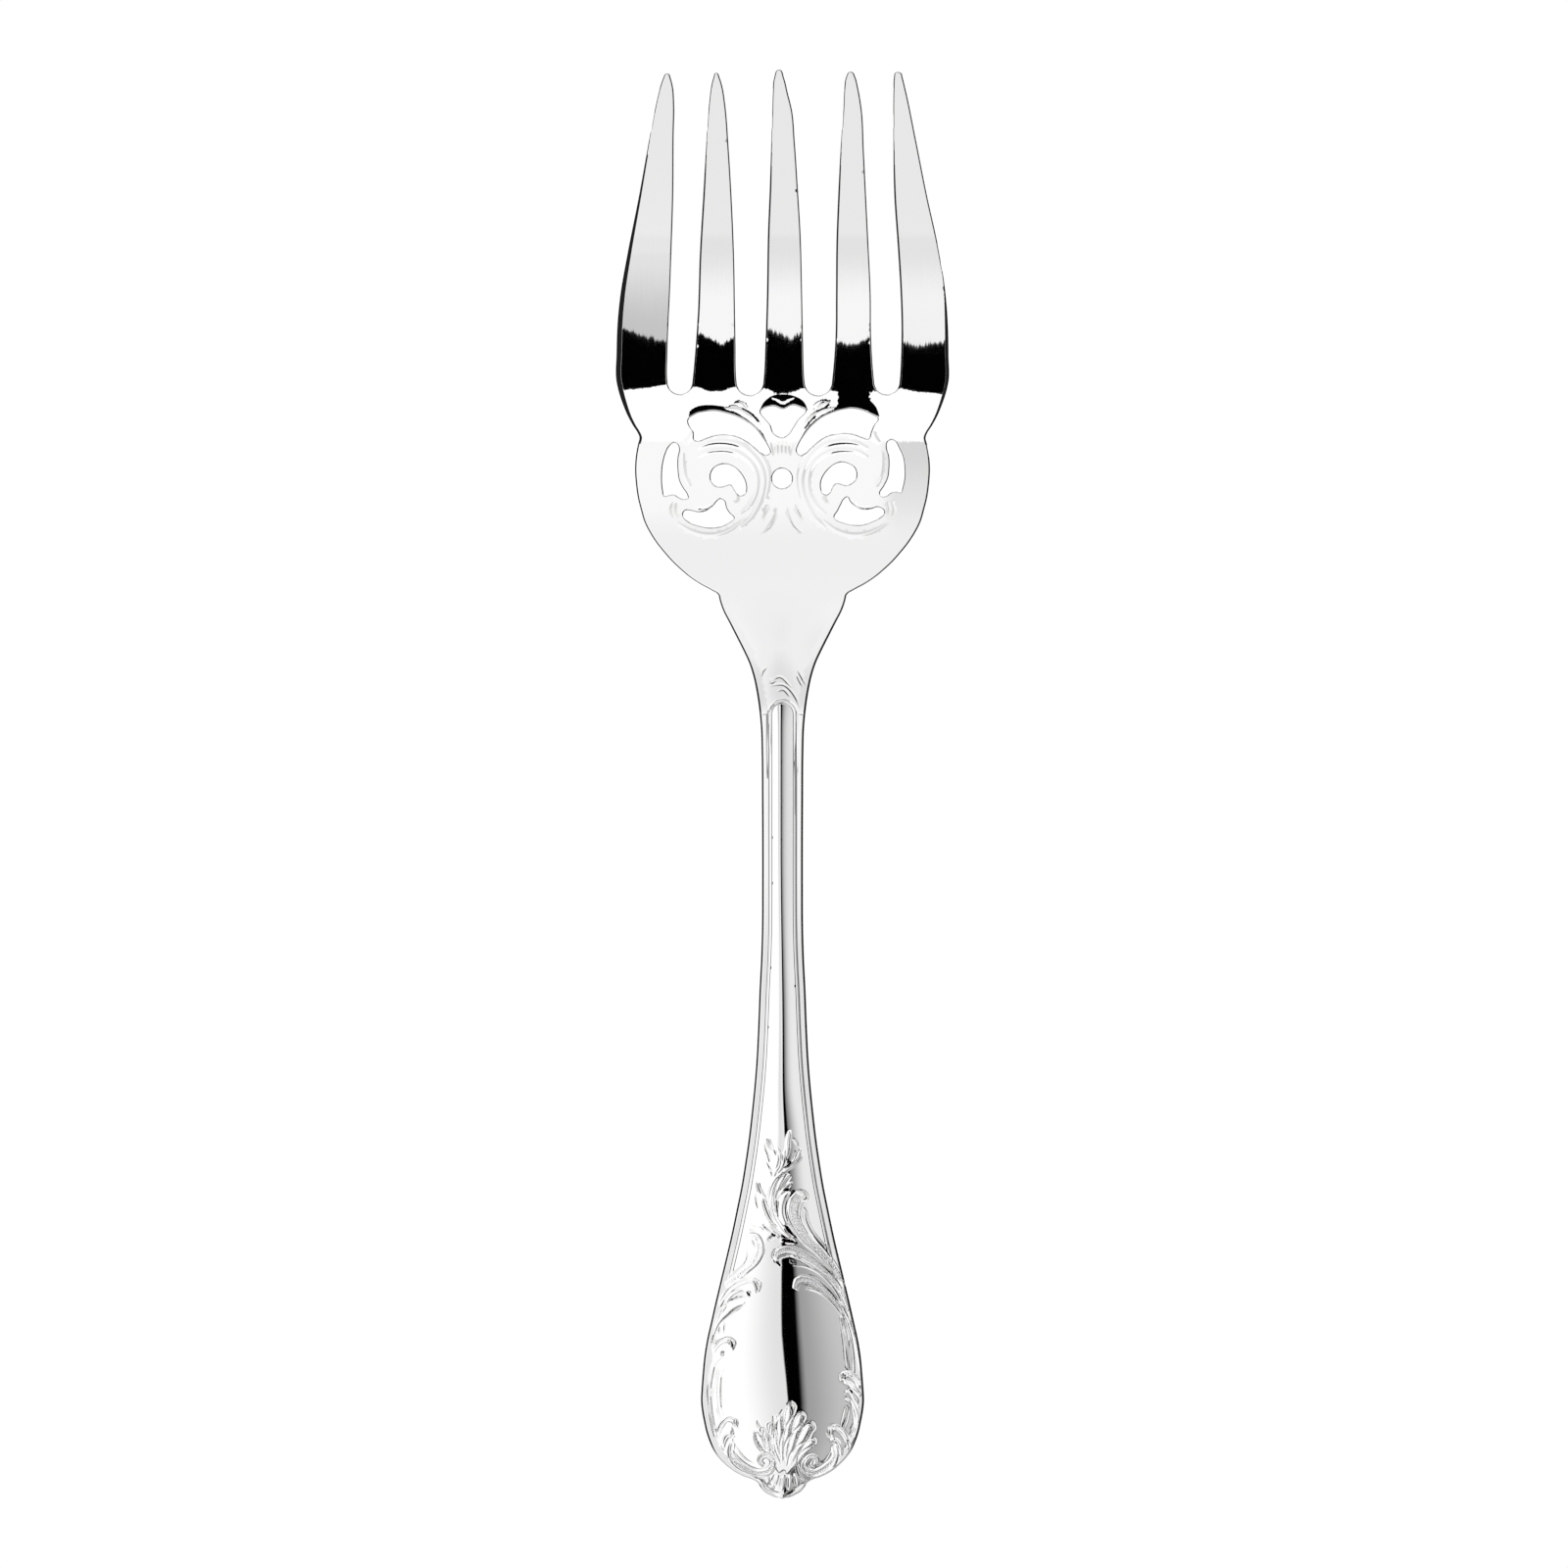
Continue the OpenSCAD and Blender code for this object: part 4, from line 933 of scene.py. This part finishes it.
def tine_lean(x, y):
    """How much more the normals of each tine lean to the tips than its metal does, and so where the
    dark reflection across it begins and ends."""
    sheet_x = AXIS_X + x / across(y)
    at, tops, feet = [], [], []
    for tine, top, foot in zip(TINES, BAND_TOPS, BAND_FEET):
        left, right = tine[-2][1:]
        at += list(np.linspace(left, right, 4))
        tops += top
        feet += foot
    top = (BAND_TOP - np.interp(sheet_x, at, tops)) * 0.00092
    foot = (BAND_FOOT - np.interp(sheet_x, at, feet)) * 0.0028
    return (
        top * np.exp(-(((y - BAND_TOP) / 26) ** 2)) + foot * np.exp(-(((y - BAND_FOOT) / 11) ** 2))
    )


# Places down the neck and the slope to the tips that its normals get there on top of the metal's,
# outside the arch and inside it. The metal has no such slopes, which reach 14 degrees.
NECK_PLACES = (560, 580, 600, 620, 640, 660, 680, 700, 710, 720, 727, 729, 736, 740, 750, 760, 770,
               780, 800, 820, 845)
NECK_LEANS = (0, -0.02, -0.04, -0.05, -0.02, 0.02, 0.1, 0.17, 0.2, 0.22, 0.2, -0.15, -0.129, -0.113,
              -0.088, -0.063, -0.033, -0.028, -0.018, -0.008, 0)
ARCH_LEANS = (0, -0.02, -0.04, -0.05, -0.02, 0.02, -0.254, -0.254, -0.225, -0.188, -0.155, -0.15,
              -0.129, -0.113, -0.088, -0.063, -0.033, -0.028, -0.018, -0.008, 0)


# The same to the left, to make the dark strip down the cartouche drift to the right and narrow.
STRIP_PLACES = (1340, 1361, 1391, 1422, 1431, 1455)
STRIP_LEANS = (0, 0.002, 0.0125, 0.027, 0.033, 0.042)
# The one slope to the right that calmed ground is shaded with.
CALM_SLOPE = 0.12


def shading_lean(x, y):
    """Lean to the right and to the tips that only the normals get, fitted to the view from straight
    above. The mesh has none of it."""
    sheet_x = AXIS_X + x / across(y)
    tines = between(y, 110, 300) * (1 - between(y, 355, 400))
    right = (
        -0.045 * tines * (sheet_x < 700)
        - 0.022 * tines * (sheet_x > 900)
        + 0.06 * between(sheet_x, 880, 930) * between(y, 440, 456) * (1 - between(y, 520, 600))
        - 0.03 * between(y, 1100, 1165) * (1 - between(y, 1225, 1270))
        - np.interp(y, STRIP_PLACES, STRIP_LEANS) * mix(1, 0.3, between(sheet_x, 800, 812))
    )
    tips = (
        tine_lean(x, y)
        - 0.05 * (1 - between(y, 232, 262))
        + mix(
            np.interp(y, NECK_PLACES, NECK_LEANS),
            np.interp(y, NECK_PLACES, ARCH_LEANS),
            between(thread_in(x, y), 1.32, 1.55),
        )
        + 0.055 * between(y, 960, 1080) * (1 - between(y, 1245, 1285))
        - 0.02 * between(y, 1275, 1300) * (1 - between(y, 1395, 1420))
    )
    return right, tips


def calm_share(sheet_x, y):
    """How far the normals of chased ground give up their slope for CALM_SLOPE, so that it reads as
    one tone: left of the handle's middle, right of the cartouche and at its foot."""
    left = (1 - between(sheet_x, 765, 790)) * (y > HANDLE_CHASED)
    right = between(y, 1385, 1400) * between(sheet_x, 835, 850)
    foot = 0.72 * between(y, 1432, 1448)
    return 0.9 * np.maximum(left, np.maximum(right, foot))


def surface(points, raster, relief):
    """Height of the metal's face, and the slopes to the right and up the plan for its normals. The
    slopes are the height's own only where nothing is leaned, calmed or level."""
    hidden = 1 - raster.read(relief.cover, points)

    def smooth(x, y_metal):
        y = down_sheet(y_metal)
        return under(y) + thick(y) + crown(x, y) + threads(x, y) * hidden

    x, y = points.T
    step = 0.02
    inside = mix(1, between(thread_in(x, down_sheet(y)), 0.3, 0.6), down_sheet(y) > THREAD_TOP)
    height = smooth(x, y) + raster.read(relief.height, points) * inside
    right = (smooth(x + step, y) - smooth(x - step, y)) / (2 * step)
    up = (smooth(x, y + step) - smooth(x, y - step)) / (2 * step)
    place = down_sheet(y)
    lean_right, lean_up = shading_lean(x, place)
    right, up = right - lean_right, up - lean_up
    calm = calm_share(AXIS_X + x / across(place), place)
    right = mix(right, CALM_SLOPE, calm * raster.read(relief.busy, points))
    tilted = 1 - raster.read(relief.level, points) * (place > ROOT_Y)
    right = (right + raster.read(relief.slope_right, points) * inside) * tilted
    up = (up + raster.read(relief.slope_up, points) * inside) * tilted
    return height, right, up


def inside_metal(points, loops):
    """Whether points lie in the outline and outside every hole, by counting crossings."""
    crossings = np.zeros(len(points), int)
    for loop in loops:
        after = np.roll(loop, -1, 0)
        rise = after[:, 1] - loop[:, 1]
        rise = np.where(np.abs(rise) < 1e-12, 1e-12, rise)
        run = (after[:, 0] - loop[:, 0]) / rise
        for k in range(0, len(points), 4000):
            p = points[k:k + 4000]
            y = p[:, 1:2]
            spans = (loop[:, 1] > y) != (after[:, 1] > y)
            cut = loop[:, 0] + (y - loop[:, 1]) * run
            crossings[k:k + 4000] += (spans & (p[:, 0:1] < cut)).sum(1)
    return crossings % 2 == 1


def triangles_of(points, loops):
    """Triangles over points, of which the first are the loops' own, in order."""
    edges = []
    start = 0
    for loop in loops:
        n = len(loop)
        edges += [(start + k, start + (k + 1) % n) for k in range(n)]
        start += n
    found = delaunay_2d_cdt([Vector(p) for p in points], edges, [], 0, 1e-7)
    if len(found[0]) != len(points):
        raise RuntimeError("the triangulation merged or added points")
    triangles = np.array(found[2], int)
    origin = np.array([o[0] for o in found[3]], int)
    triangles = origin[triangles]
    on_edge = (triangles < start).all(1)
    keep = np.ones(len(triangles), bool)
    keep[on_edge] = inside_metal(points[triangles[on_edge]].mean(1), loops)
    triangles = triangles[keep]
    a, b, c = (points[triangles[:, k]] for k in range(3))
    turn = (b[:, 0] - a[:, 0]) * (c[:, 1] - a[:, 1]) - (b[:, 1] - a[:, 1]) * (c[:, 0] - a[:, 0])
    triangles[turn < 0] = triangles[turn < 0][:, ::-1]
    return triangles


class Nearest:
    """The nearest of many points of the plan."""

    def __init__(self, points):
        self.tree = KDTree(len(points))
        for k, (x, y) in enumerate(points):
            self.tree.insert((x, y, 0), k)
        self.tree.balance()

    def find(self, points):
        """For each point, which is nearest and how far it is."""
        found = [self.tree.find((x, y, 0))[1:] for x, y in points]
        return np.array([f[0] for f in found], int), np.array([f[1] for f in found])


def thinned(points, gap):
    """Points without those that share a square gap wide with an earlier one."""
    key = np.floor(points / gap).astype(np.int64)
    _, first = np.unique(key[:, 0] * 1000003 + key[:, 1], return_index=True)
    return points[np.sort(first)]


def handle_lines(base, side):
    """Points along the threads, in step with the edge's own points, and along the handle's
    crest."""
    place = down_sheet(base[:, 1])
    flank = (place > ARCH_TOP) & (place < THREAD_END + 8)
    base, side, place = base[flank], side[flank], place[flank]
    guide = half(THREAD_TOP)
    turn = np.linspace(0, math.pi, 36)
    out = []
    for inset in THREAD_ROWS:
        straight = np.stack([np.sign(base[:, 0]) * (guide - inset), base[:, 1]], -1)
        out.append(np.where((place > THREAD_TOP)[:, None], base - side * inset, straight))
        arc = (guide - inset) * np.stack([np.cos(turn), np.sin(turn)], -1)
        out.append(arc + (0, (MID_Y - ARCH_TOP) * ALONG))
    y = np.arange(736, 1160, 3.6)
    for k in np.linspace(-0.75, 0.75, 13):
        across_crest = crest(y) + k * mix(1, 1.5, between(y, 1000, 1150))
        out.append(np.stack([across_crest, (MID_Y - y) * ALONG], -1))
    return np.vstack(out)


def grid_points(raster, relief, loops):
    """A jittered grid over the face, close where it is chased and wide where it is plain."""
    rng = np.random.default_rng(7)
    y = np.arange(-LENGTH / 2, LENGTH / 2, GRID * 0.87)
    x = np.arange(-HEAD_W / 2, HEAD_W / 2, GRID)
    column, row = (c.ravel() for c in np.meshgrid(np.arange(len(x)), np.arange(len(y))))
    place = down_sheet(y[row])
    chased = raster.read(relief.busy, np.stack([x[column], y[row]], -1)) > 0.02
    ornate = (place > HANDLE_CHASED) | ((place > 660) & (place < 728))
    curved = (place > 690) | ((place > 385) & (place < 470))
    level = np.select(
        [ornate & chased, chased & (place > 400), curved, place > 330], [1, 2, 3, 4], 8
    )
    keep = (column % level == 0) & (row % level == 0)
    column, row, level = column[keep], row[keep], level[keep]
    shift = 0.5 * GRID * level * ((row // level) % 2)
    points = np.stack([x[column] + shift, y[row]], -1)
    points = points + rng.uniform(-0.06, 0.06, points.shape) * (GRID * level)[:, None]
    inside = inside_metal(points, loops)
    return points[inside], level[inside]


def edge_rings(base, side, widths, shares, edges):
    """Points on lines inside the edge, those that no other edge comes closer to: the points, how
    far in they lie and the row of the edge point that each stands off."""
    out = []
    for share in shares:
        depth = share * widths
        points = base - side * depth[:, None]
        row = np.arange(len(base))
        if share:
            keep = edges.find(points)[1] > 0.93 * depth - 0.004
            points, depth, row = points[keep], depth[keep], row[keep]
        out.append((points, depth, row))
    return [np.concatenate(part) for part in zip(*out)]


def unit(vectors):
    return vectors / np.linalg.norm(vectors, axis=1)[:, None]


def rounded(normal, out, share):
    """Normals turned outward by the share of the way round an edge."""
    level = np.hstack([out, np.zeros((len(out), 1))])
    return normal * np.sqrt(1 - share**2)[:, None] + level * share[:, None]


def face_up(loops, base, side, edges, raster, relief):
    """Points and normals of the face, the edge's own first."""
    place = down_sheet(base[:, 1])
    outer = np.arange(len(base)) < len(loops[0])
    radius = np.where(outer, edge_radius(place), HOLE_RADIUS)
    bevel = np.where(outer, edge_bevel(AXIS_X + base[:, 0] / across(place), place, side), 0)
    width = np.maximum(radius, bevel)
    ring, depth, row = edge_rings(base, side, width, RING_SHARES, edges)

    near_base = Nearest(base)

    def clear(points, gap):
        nearest, far = near_base.find(points)
        return far > RING_SHARES[-1] * width[nearest] + gap

    threads_at = thinned(handle_lines(base[outer], side[outer]), 0.03)
    lines = thinned(np.vstack(relief.lines), 0.09)
    lines = np.vstack([threads_at, lines[Nearest(threads_at).find(lines)[1] > 0.05]])
    lines = lines[inside_metal(lines, loops)]
    lines = lines[clear(lines, 0.03)]
    grid, level = grid_points(raster, relief, loops)
    keep = clear(grid, 0.3 * GRID * level) & (
        Nearest(lines).find(grid)[1] > 0.62 * GRID * np.minimum(level, 3)
    )
    grid_y = down_sheet(grid[:, 1])
    plain_rim = (grid_y >= ARCH_TOP) & (grid_y <= HANDLE_CHASED)
    keep &= (thread_in(grid[:, 0], grid_y) > THREAD_ROWS[-1]) | ~plain_rim
    plan = np.vstack([ring, lines, grid[keep]])

    height, right, up = surface(plan, raster, relief)
    n = len(ring)
    r, w, out = radius[row], bevel[row], side[row]
    share = np.clip(depth / r, 0, 1)
    height[:n] -= r * np.interp(share, EDGE_STEPS, EDGE_FALL)
    height[:n] -= BEVEL_SLOPE * np.maximum(w - depth, 0)
    normal = np.column_stack([-right, -up, np.ones(len(plan))])
    normal[:n, :2] += out * np.where(depth < w - 1e-6, BEVEL_SLOPE, 0)[:, None]
    normal = unit(normal)
    # A bevelled edge has its roll in the heights only.
    turned = np.where(w > BEVELLED, 0, np.interp(share, EDGE_STEPS, EDGE_LEAN))
    normal[:n] = rounded(normal[:n], out, turned)
    return np.column_stack([plan, height]), normal


def face_down(loops, base, side, edges):
    """Points and normals of the plain underside, the edge's own first."""
    widths = np.full(len(base), UNDER_RADIUS)
    ring, depth, row = edge_rings(base, side, widths, (0, 0.35, 1), edges)
    grid = np.stack(np.meshgrid(np.arange(-HEAD_W / 2, HEAD_W / 2, 1.7),
                                np.arange(-LENGTH / 2, LENGTH / 2, 1.7)), -1).reshape(-1, 2)
    grid = grid + np.random.default_rng(3).uniform(-0.1, 0.1, grid.shape)
    grid = grid[inside_metal(grid, loops)]
    grid = grid[edges.find(grid)[1] > 0.8]
    plan = np.vstack([ring, grid])
    height = under(down_sheet(plan[:, 1]))
    slope = (under(down_sheet(plan[:, 1] + 0.02)) - under(down_sheet(plan[:, 1] - 0.02))) / 0.04
    normal = unit(np.column_stack([np.zeros(len(plan)), slope, -np.ones(len(plan))]))
    n = len(ring)
    share = np.clip(1 - depth / UNDER_RADIUS, 0, 1)
    height[:n] += UNDER_RADIUS * (1 - np.sqrt(1 - share**2))
    normal[:n] = rounded(normal[:n], side[row], share)
    return np.column_stack([plan, height]), normal


def build_fork():
    raster = Raster()
    relief = Relief(raster)
    loops = boundary_loops()
    base, side = np.vstack(loops), np.vstack([outward(loop) for loop in loops])
    edges = Nearest(np.vstack([resample(loop, 0.1, closed=True) for loop in loops]))
    top, top_normal = face_up(loops, base, side, edges, raster, relief)
    bottom, bottom_normal = face_down(loops, base, side, edges)

    faces = [triangles_of(top[:, :2], loops),
             triangles_of(bottom[:, :2], loops)[:, ::-1] + len(top)]
    start = 0
    for loop in loops:
        k = np.arange(len(loop)) + start
        j = np.roll(k, -1)
        faces += [np.stack([k, k + len(top), j + len(top)], -1), np.stack([k, j + len(top), j], -1)]
        start += len(loop)
    faces = np.vstack(faces)
    verts = np.vstack([top, bottom]) * MM

    mesh = bpy.data.meshes.new("fork")
    mesh.from_pydata(verts.tolist(), [], faces.tolist())
    mesh.validate()
    mesh.polygons.foreach_set("use_smooth", [True] * len(mesh.polygons))
    mesh.normals_split_custom_set_from_vertices(np.vstack([top_normal, bottom_normal]).tolist())
    masks = {
        "stipple": raster.read(relief.ground, top[:, :2]),
        "recess": np.clip(-raster.read(relief.height, top[:, :2]) / 0.06, 0, 1),
    }
    for name, mask in masks.items():
        values = np.zeros(len(verts), np.float32)
        values[:len(top)] = mask * (down_sheet(top[:, 1]) > ROOT_Y)
        mesh.attributes.new(name, "FLOAT", "POINT").data.foreach_set("value", values)
    mesh.update()
    fork = bpy.data.objects.new("silver_fork", mesh)
    bpy.context.scene.collection.objects.link(fork)
    print("fork mesh:", len(verts), "points,", len(faces), "triangles", flush=True)
    return fork


# Finish

class Graph:
    """Short calls for the nodes of one tree."""

    def __init__(self, tree):
        self.tree = tree
        tree.nodes.clear()

    def add(self, kind, inputs=(), **settings):
        node = self.tree.nodes.new(kind)
        for name, value in settings.items():
            setattr(node, name, value)
        for socket, value in dict(inputs).items():
            if isinstance(value, bpy.types.NodeSocket):
                self.tree.links.new(value, node.inputs[socket])
            else:
                node.inputs[socket].default_value = value
        return node

    def math(self, operation, a, b=0.0, c=0.0):
        return self.add("ShaderNodeMath", {0: a, 1: b, 2: c}, operation=operation).outputs[0]

    def ramp(self, value, start, end):
        """0 before start, 1 after end, smooth between. start may be above end."""
        node = self.add(
            "ShaderNodeMapRange", {"Value": value}, interpolation_type="SMOOTHSTEP", clamp=True
        )
        low, high = (start, end) if start < end else (end, start)
        node.inputs["From Min"].default_value = low
        node.inputs["From Max"].default_value = high
        node.inputs["To Min"].default_value = 0 if start < end else 1
        node.inputs["To Max"].default_value = 1 if start < end else 0
        return node.outputs[0]

    def window(self, value, low, high, soft):
        """1 from low to high, with edges soft wide."""
        return self.math(
            "MULTIPLY",
            self.ramp(value, low - soft / 2, low + soft / 2),
            self.ramp(value, high + soft / 2, high - soft / 2),
        )

    def blend(self, below, above, share):
        node = self.add("ShaderNodeMix", data_type="FLOAT", clamp_factor=True)
        for socket, value in ((0, share), (2, below), (3, above)):
            if isinstance(value, bpy.types.NodeSocket):
                self.tree.links.new(value, node.inputs[socket])
            else:
                node.inputs[socket].default_value = value
        return node.outputs[0]


def silver():
    """Polished silver: a mirror with a faint grain along the fork and a little tarnish held in the
    chased lines. The leaf grounds are stippled by a bump and not by the mesh."""
    material = bpy.data.materials.new("polished_silver")
    material.use_nodes = True
    g = Graph(material.node_tree)
    place = g.add("ShaderNodeTexCoord").outputs["Object"]
    grain_place = g.add("ShaderNodeMapping", {"Vector": place, "Scale": (3200, 160, 160)})
    grain = g.add("ShaderNodeTexNoise", {"Vector": grain_place.outputs[0], "Scale": 1.0,
                                         "Detail": 2.0}).outputs[0]
    wave_place = g.add("ShaderNodeMapping", {"Vector": place, "Scale": (90, 60, 60)})
    wave = g.add("ShaderNodeTexNoise", {"Vector": wave_place.outputs[0], "Scale": 1.0,
                                        "Detail": 1.0}).outputs[0]
    sway = g.math("ADD",
                  g.math("MULTIPLY", g.math("SUBTRACT", grain, 0.5), 0.011),
                  g.math("MULTIPLY", g.math("SUBTRACT", wave, 0.5), 0.003))
    push = g.add("ShaderNodeCombineXYZ", {1: sway}).outputs[0]
    face = g.add("ShaderNodeNewGeometry").outputs["Normal"]
    swayed = g.add("ShaderNodeVectorMath", {0: face, 1: push}, operation="ADD").outputs[0]
    swayed = g.add("ShaderNodeVectorMath", {0: swayed}, operation="NORMALIZE").outputs[0]

    stipple = g.add("ShaderNodeAttribute", attribute_name="stipple").outputs["Fac"]
    recess = g.add("ShaderNodeAttribute", attribute_name="recess").outputs["Fac"]
    dots = g.add("ShaderNodeTexVoronoi", {"Vector": place, "Scale": 5000.0}).outputs["Distance"]
    bump = g.add("ShaderNodeBump", {"Height": g.math("MULTIPLY", dots, stipple),
                                    "Strength": 1.0, "Distance": 0.00004, "Normal": swayed})
    tarnish = g.add("ShaderNodeMix", {0: g.math("MULTIPLY", recess, 0.5)}, data_type="RGBA")
    tarnish.inputs[6].default_value = (0.955, 0.955, 0.952, 1)
    tarnish.inputs[7].default_value = (0.6, 0.59, 0.57, 1)
    shine = g.add("ShaderNodeBsdfPrincipled", {
        "Base Color": tarnish.outputs[2],
        "Metallic": 1.0,
        "Roughness": g.math("ADD", 0.012, g.math("MULTIPLY", wave, 0.03)),
        "Normal": bump.outputs[0],
    })
    g.add("ShaderNodeOutputMaterial", {"Surface": shine.outputs[0]})
    return material


def floor_white():
    material = bpy.data.materials.new("white_table")
    material.use_nodes = True
    g = Graph(material.node_tree)
    light = g.add("ShaderNodeEmission", {"Color": (1, 1, 1, 1), "Strength": 1.02})
    g.add("ShaderNodeOutputMaterial", {"Surface": light.outputs[0]})
    return material


def make_floor():
    mesh = bpy.data.meshes.new("floor")
    reach = 3.0
    corners = [(-reach, -reach, 0), (reach, -reach, 0), (reach, reach, 0), (-reach, reach, 0)]
    mesh.from_pydata(corners, [], [(0, 1, 2, 3)])
    floor = bpy.data.objects.new("floor", mesh)
    floor.location.z = cad_box[0].z - 0.0002
    floor.data.materials.append(floor_white())
    bpy.context.scene.collection.objects.link(floor)


def make_world():
    """A white tent with a dark slot overhead and a dark gap above the horizon, lighter before and
    behind. u and v say which way the metal must lean, to the right and to the tips, to mirror a
    place in it. Tones and places are fitted to the view from straight above."""
    world = bpy.data.worlds.new("studio")
    bpy.context.scene.world = world
    world.use_nodes = True
    g = Graph(world.node_tree)
    parts = g.add("ShaderNodeSeparateXYZ", {0: g.add("ShaderNodeTexCoord").outputs["Generated"]})
    x, y, z = parts.outputs
    rise = g.math("MAXIMUM", g.math("ADD", z, 1.0), 0.02)
    u, v = g.math("DIVIDE", x, rise), g.math("DIVIDE", y, rise)
    lean = g.math("POWER", g.math("ADD", g.math("MULTIPLY", u, u), g.math("MULTIPLY", v, v)), 0.5)

    low = g.ramp(v, -0.1, -0.11)
    head = g.blend(0.985, g.blend(0.7, 0.84, g.ramp(v, 0.18, 0.3)), g.ramp(u, 0.015, 0.05))
    tone = g.blend(1.06, head, g.ramp(v, 0.164, 0.167))
    tone = g.blend(tone, 0.9, g.ramp(v, 0.25, 0.345))
    tone = g.blend(tone, 0.75, g.ramp(v, 0.345, 0.4))
    face = g.blend(0.97, 0.8, g.ramp(v, -0.055, -0.105))
    face = g.blend(face, g.blend(0.55, 0.8, g.ramp(v, -0.03, -0.105)), g.ramp(u, -0.01, -0.055))
    tone = g.blend(tone, face, g.math("MULTIPLY", g.ramp(v, -0.01, -0.02),
                                      g.window(u, -0.08, 0.06, 0.04)))
    left = g.blend(g.blend(0.79, 0.84, g.ramp(v, -0.14, -0.17)), 1.06, g.ramp(u, 0.01, -0.2))
    tone = g.blend(tone, left, g.math("MULTIPLY", low, g.ramp(u, 0.06, 0.04)))
    right_high = g.blend(0.1, 0.85, g.ramp(u, 0.03, 0.17))
    right_low = g.blend(0.08, 0.34, g.ramp(u, 0.08, 0.106))
    right_low = g.blend(right_low, 0.6, g.ramp(u, 0.09, 0.24))
    right = g.blend(right_high, right_low, low)
    right = g.blend(right, 1.05, g.blend(g.ramp(u, 0.23, 0.33), g.ramp(u, 0.36, 0.42), low))
    tone = g.blend(tone, right, g.math("MULTIPLY", g.ramp(u, 0.035, 0.06), g.ramp(v, 0.06, -0.02)))
    from_start = g.math("SUBTRACT", u, g.blend(0.01, 0.018, low))
    from_end = g.math("SUBTRACT", u, g.blend(0.055, 0.083, low))
    slot = g.math("MULTIPLY", g.ramp(from_start, -0.004, 0.004), g.ramp(from_end, 0.006, -0.006))
    slot = g.math("MULTIPLY", slot, g.window(v, -0.3, 0.05, 0.02))
    bar = g.math("MULTIPLY", g.window(u, -0.07, 0.05, 0.01), g.window(v, -0.021, 0.036, 0.002))
    tone = g.blend(tone, 0.0003, g.math("MAXIMUM", slot, bar))
    skew = g.math("ADD", u, g.math("MULTIPLY", g.math("MAXIMUM", u, 0.0), 0.4))
    spread = g.math("POWER", g.math("ADD", g.math("MULTIPLY", skew, skew),
                                    g.math("MULTIPLY", v, v)), 0.5)
    endways = g.math("DIVIDE", g.math("MULTIPLY", v, v), g.math("MULTIPLY", lean, lean))
    horizon = g.math("MULTIPLY", g.ramp(lean, 0.6, 0.74), g.ramp(endways, 0.2, 0.5))
    tone = g.blend(tone, g.blend(0.015, 0.6, horizon), g.ramp(spread, 0.42, 0.66))
    light = g.add("ShaderNodeBackground", {"Color": (1, 1, 1, 1), "Strength": tone})
    g.add("ShaderNodeOutputWorld", {"Surface": light.outputs[0]})


FRAME_SQUARES = 1600
CAMERA_HEIGHT = 4.0
SENSOR = 36.0


def make_camera():
    """Straight down from high above, so that one square of the sheet is one pixel."""
    camera = bpy.data.cameras.new("camera")
    camera.sensor_width = SENSOR
    face = (cad_box[0].z + cad_box[1].z) / 3
    seen = FRAME_SQUARES * ALONG * MM
    camera.lens = SENSOR * CAMERA_HEIGHT / seen
    camera.clip_end = 20
    eye = bpy.data.objects.new("camera", camera)
    middle = FRAME_SQUARES / 2
    eye.location = ((middle - AXIS_X) * ALONG * MM, (MID_Y - middle) * ALONG * MM,
                    CAMERA_HEIGHT + face)
    bpy.context.scene.collection.objects.link(eye)
    bpy.context.scene.camera = eye


make_camera()
fork = build_fork()
fork.data.materials.append(silver())
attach(fork, "root")
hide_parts("fish_server")
make_floor()
make_world()
bpy.context.scene.view_settings.view_transform = "Standard"
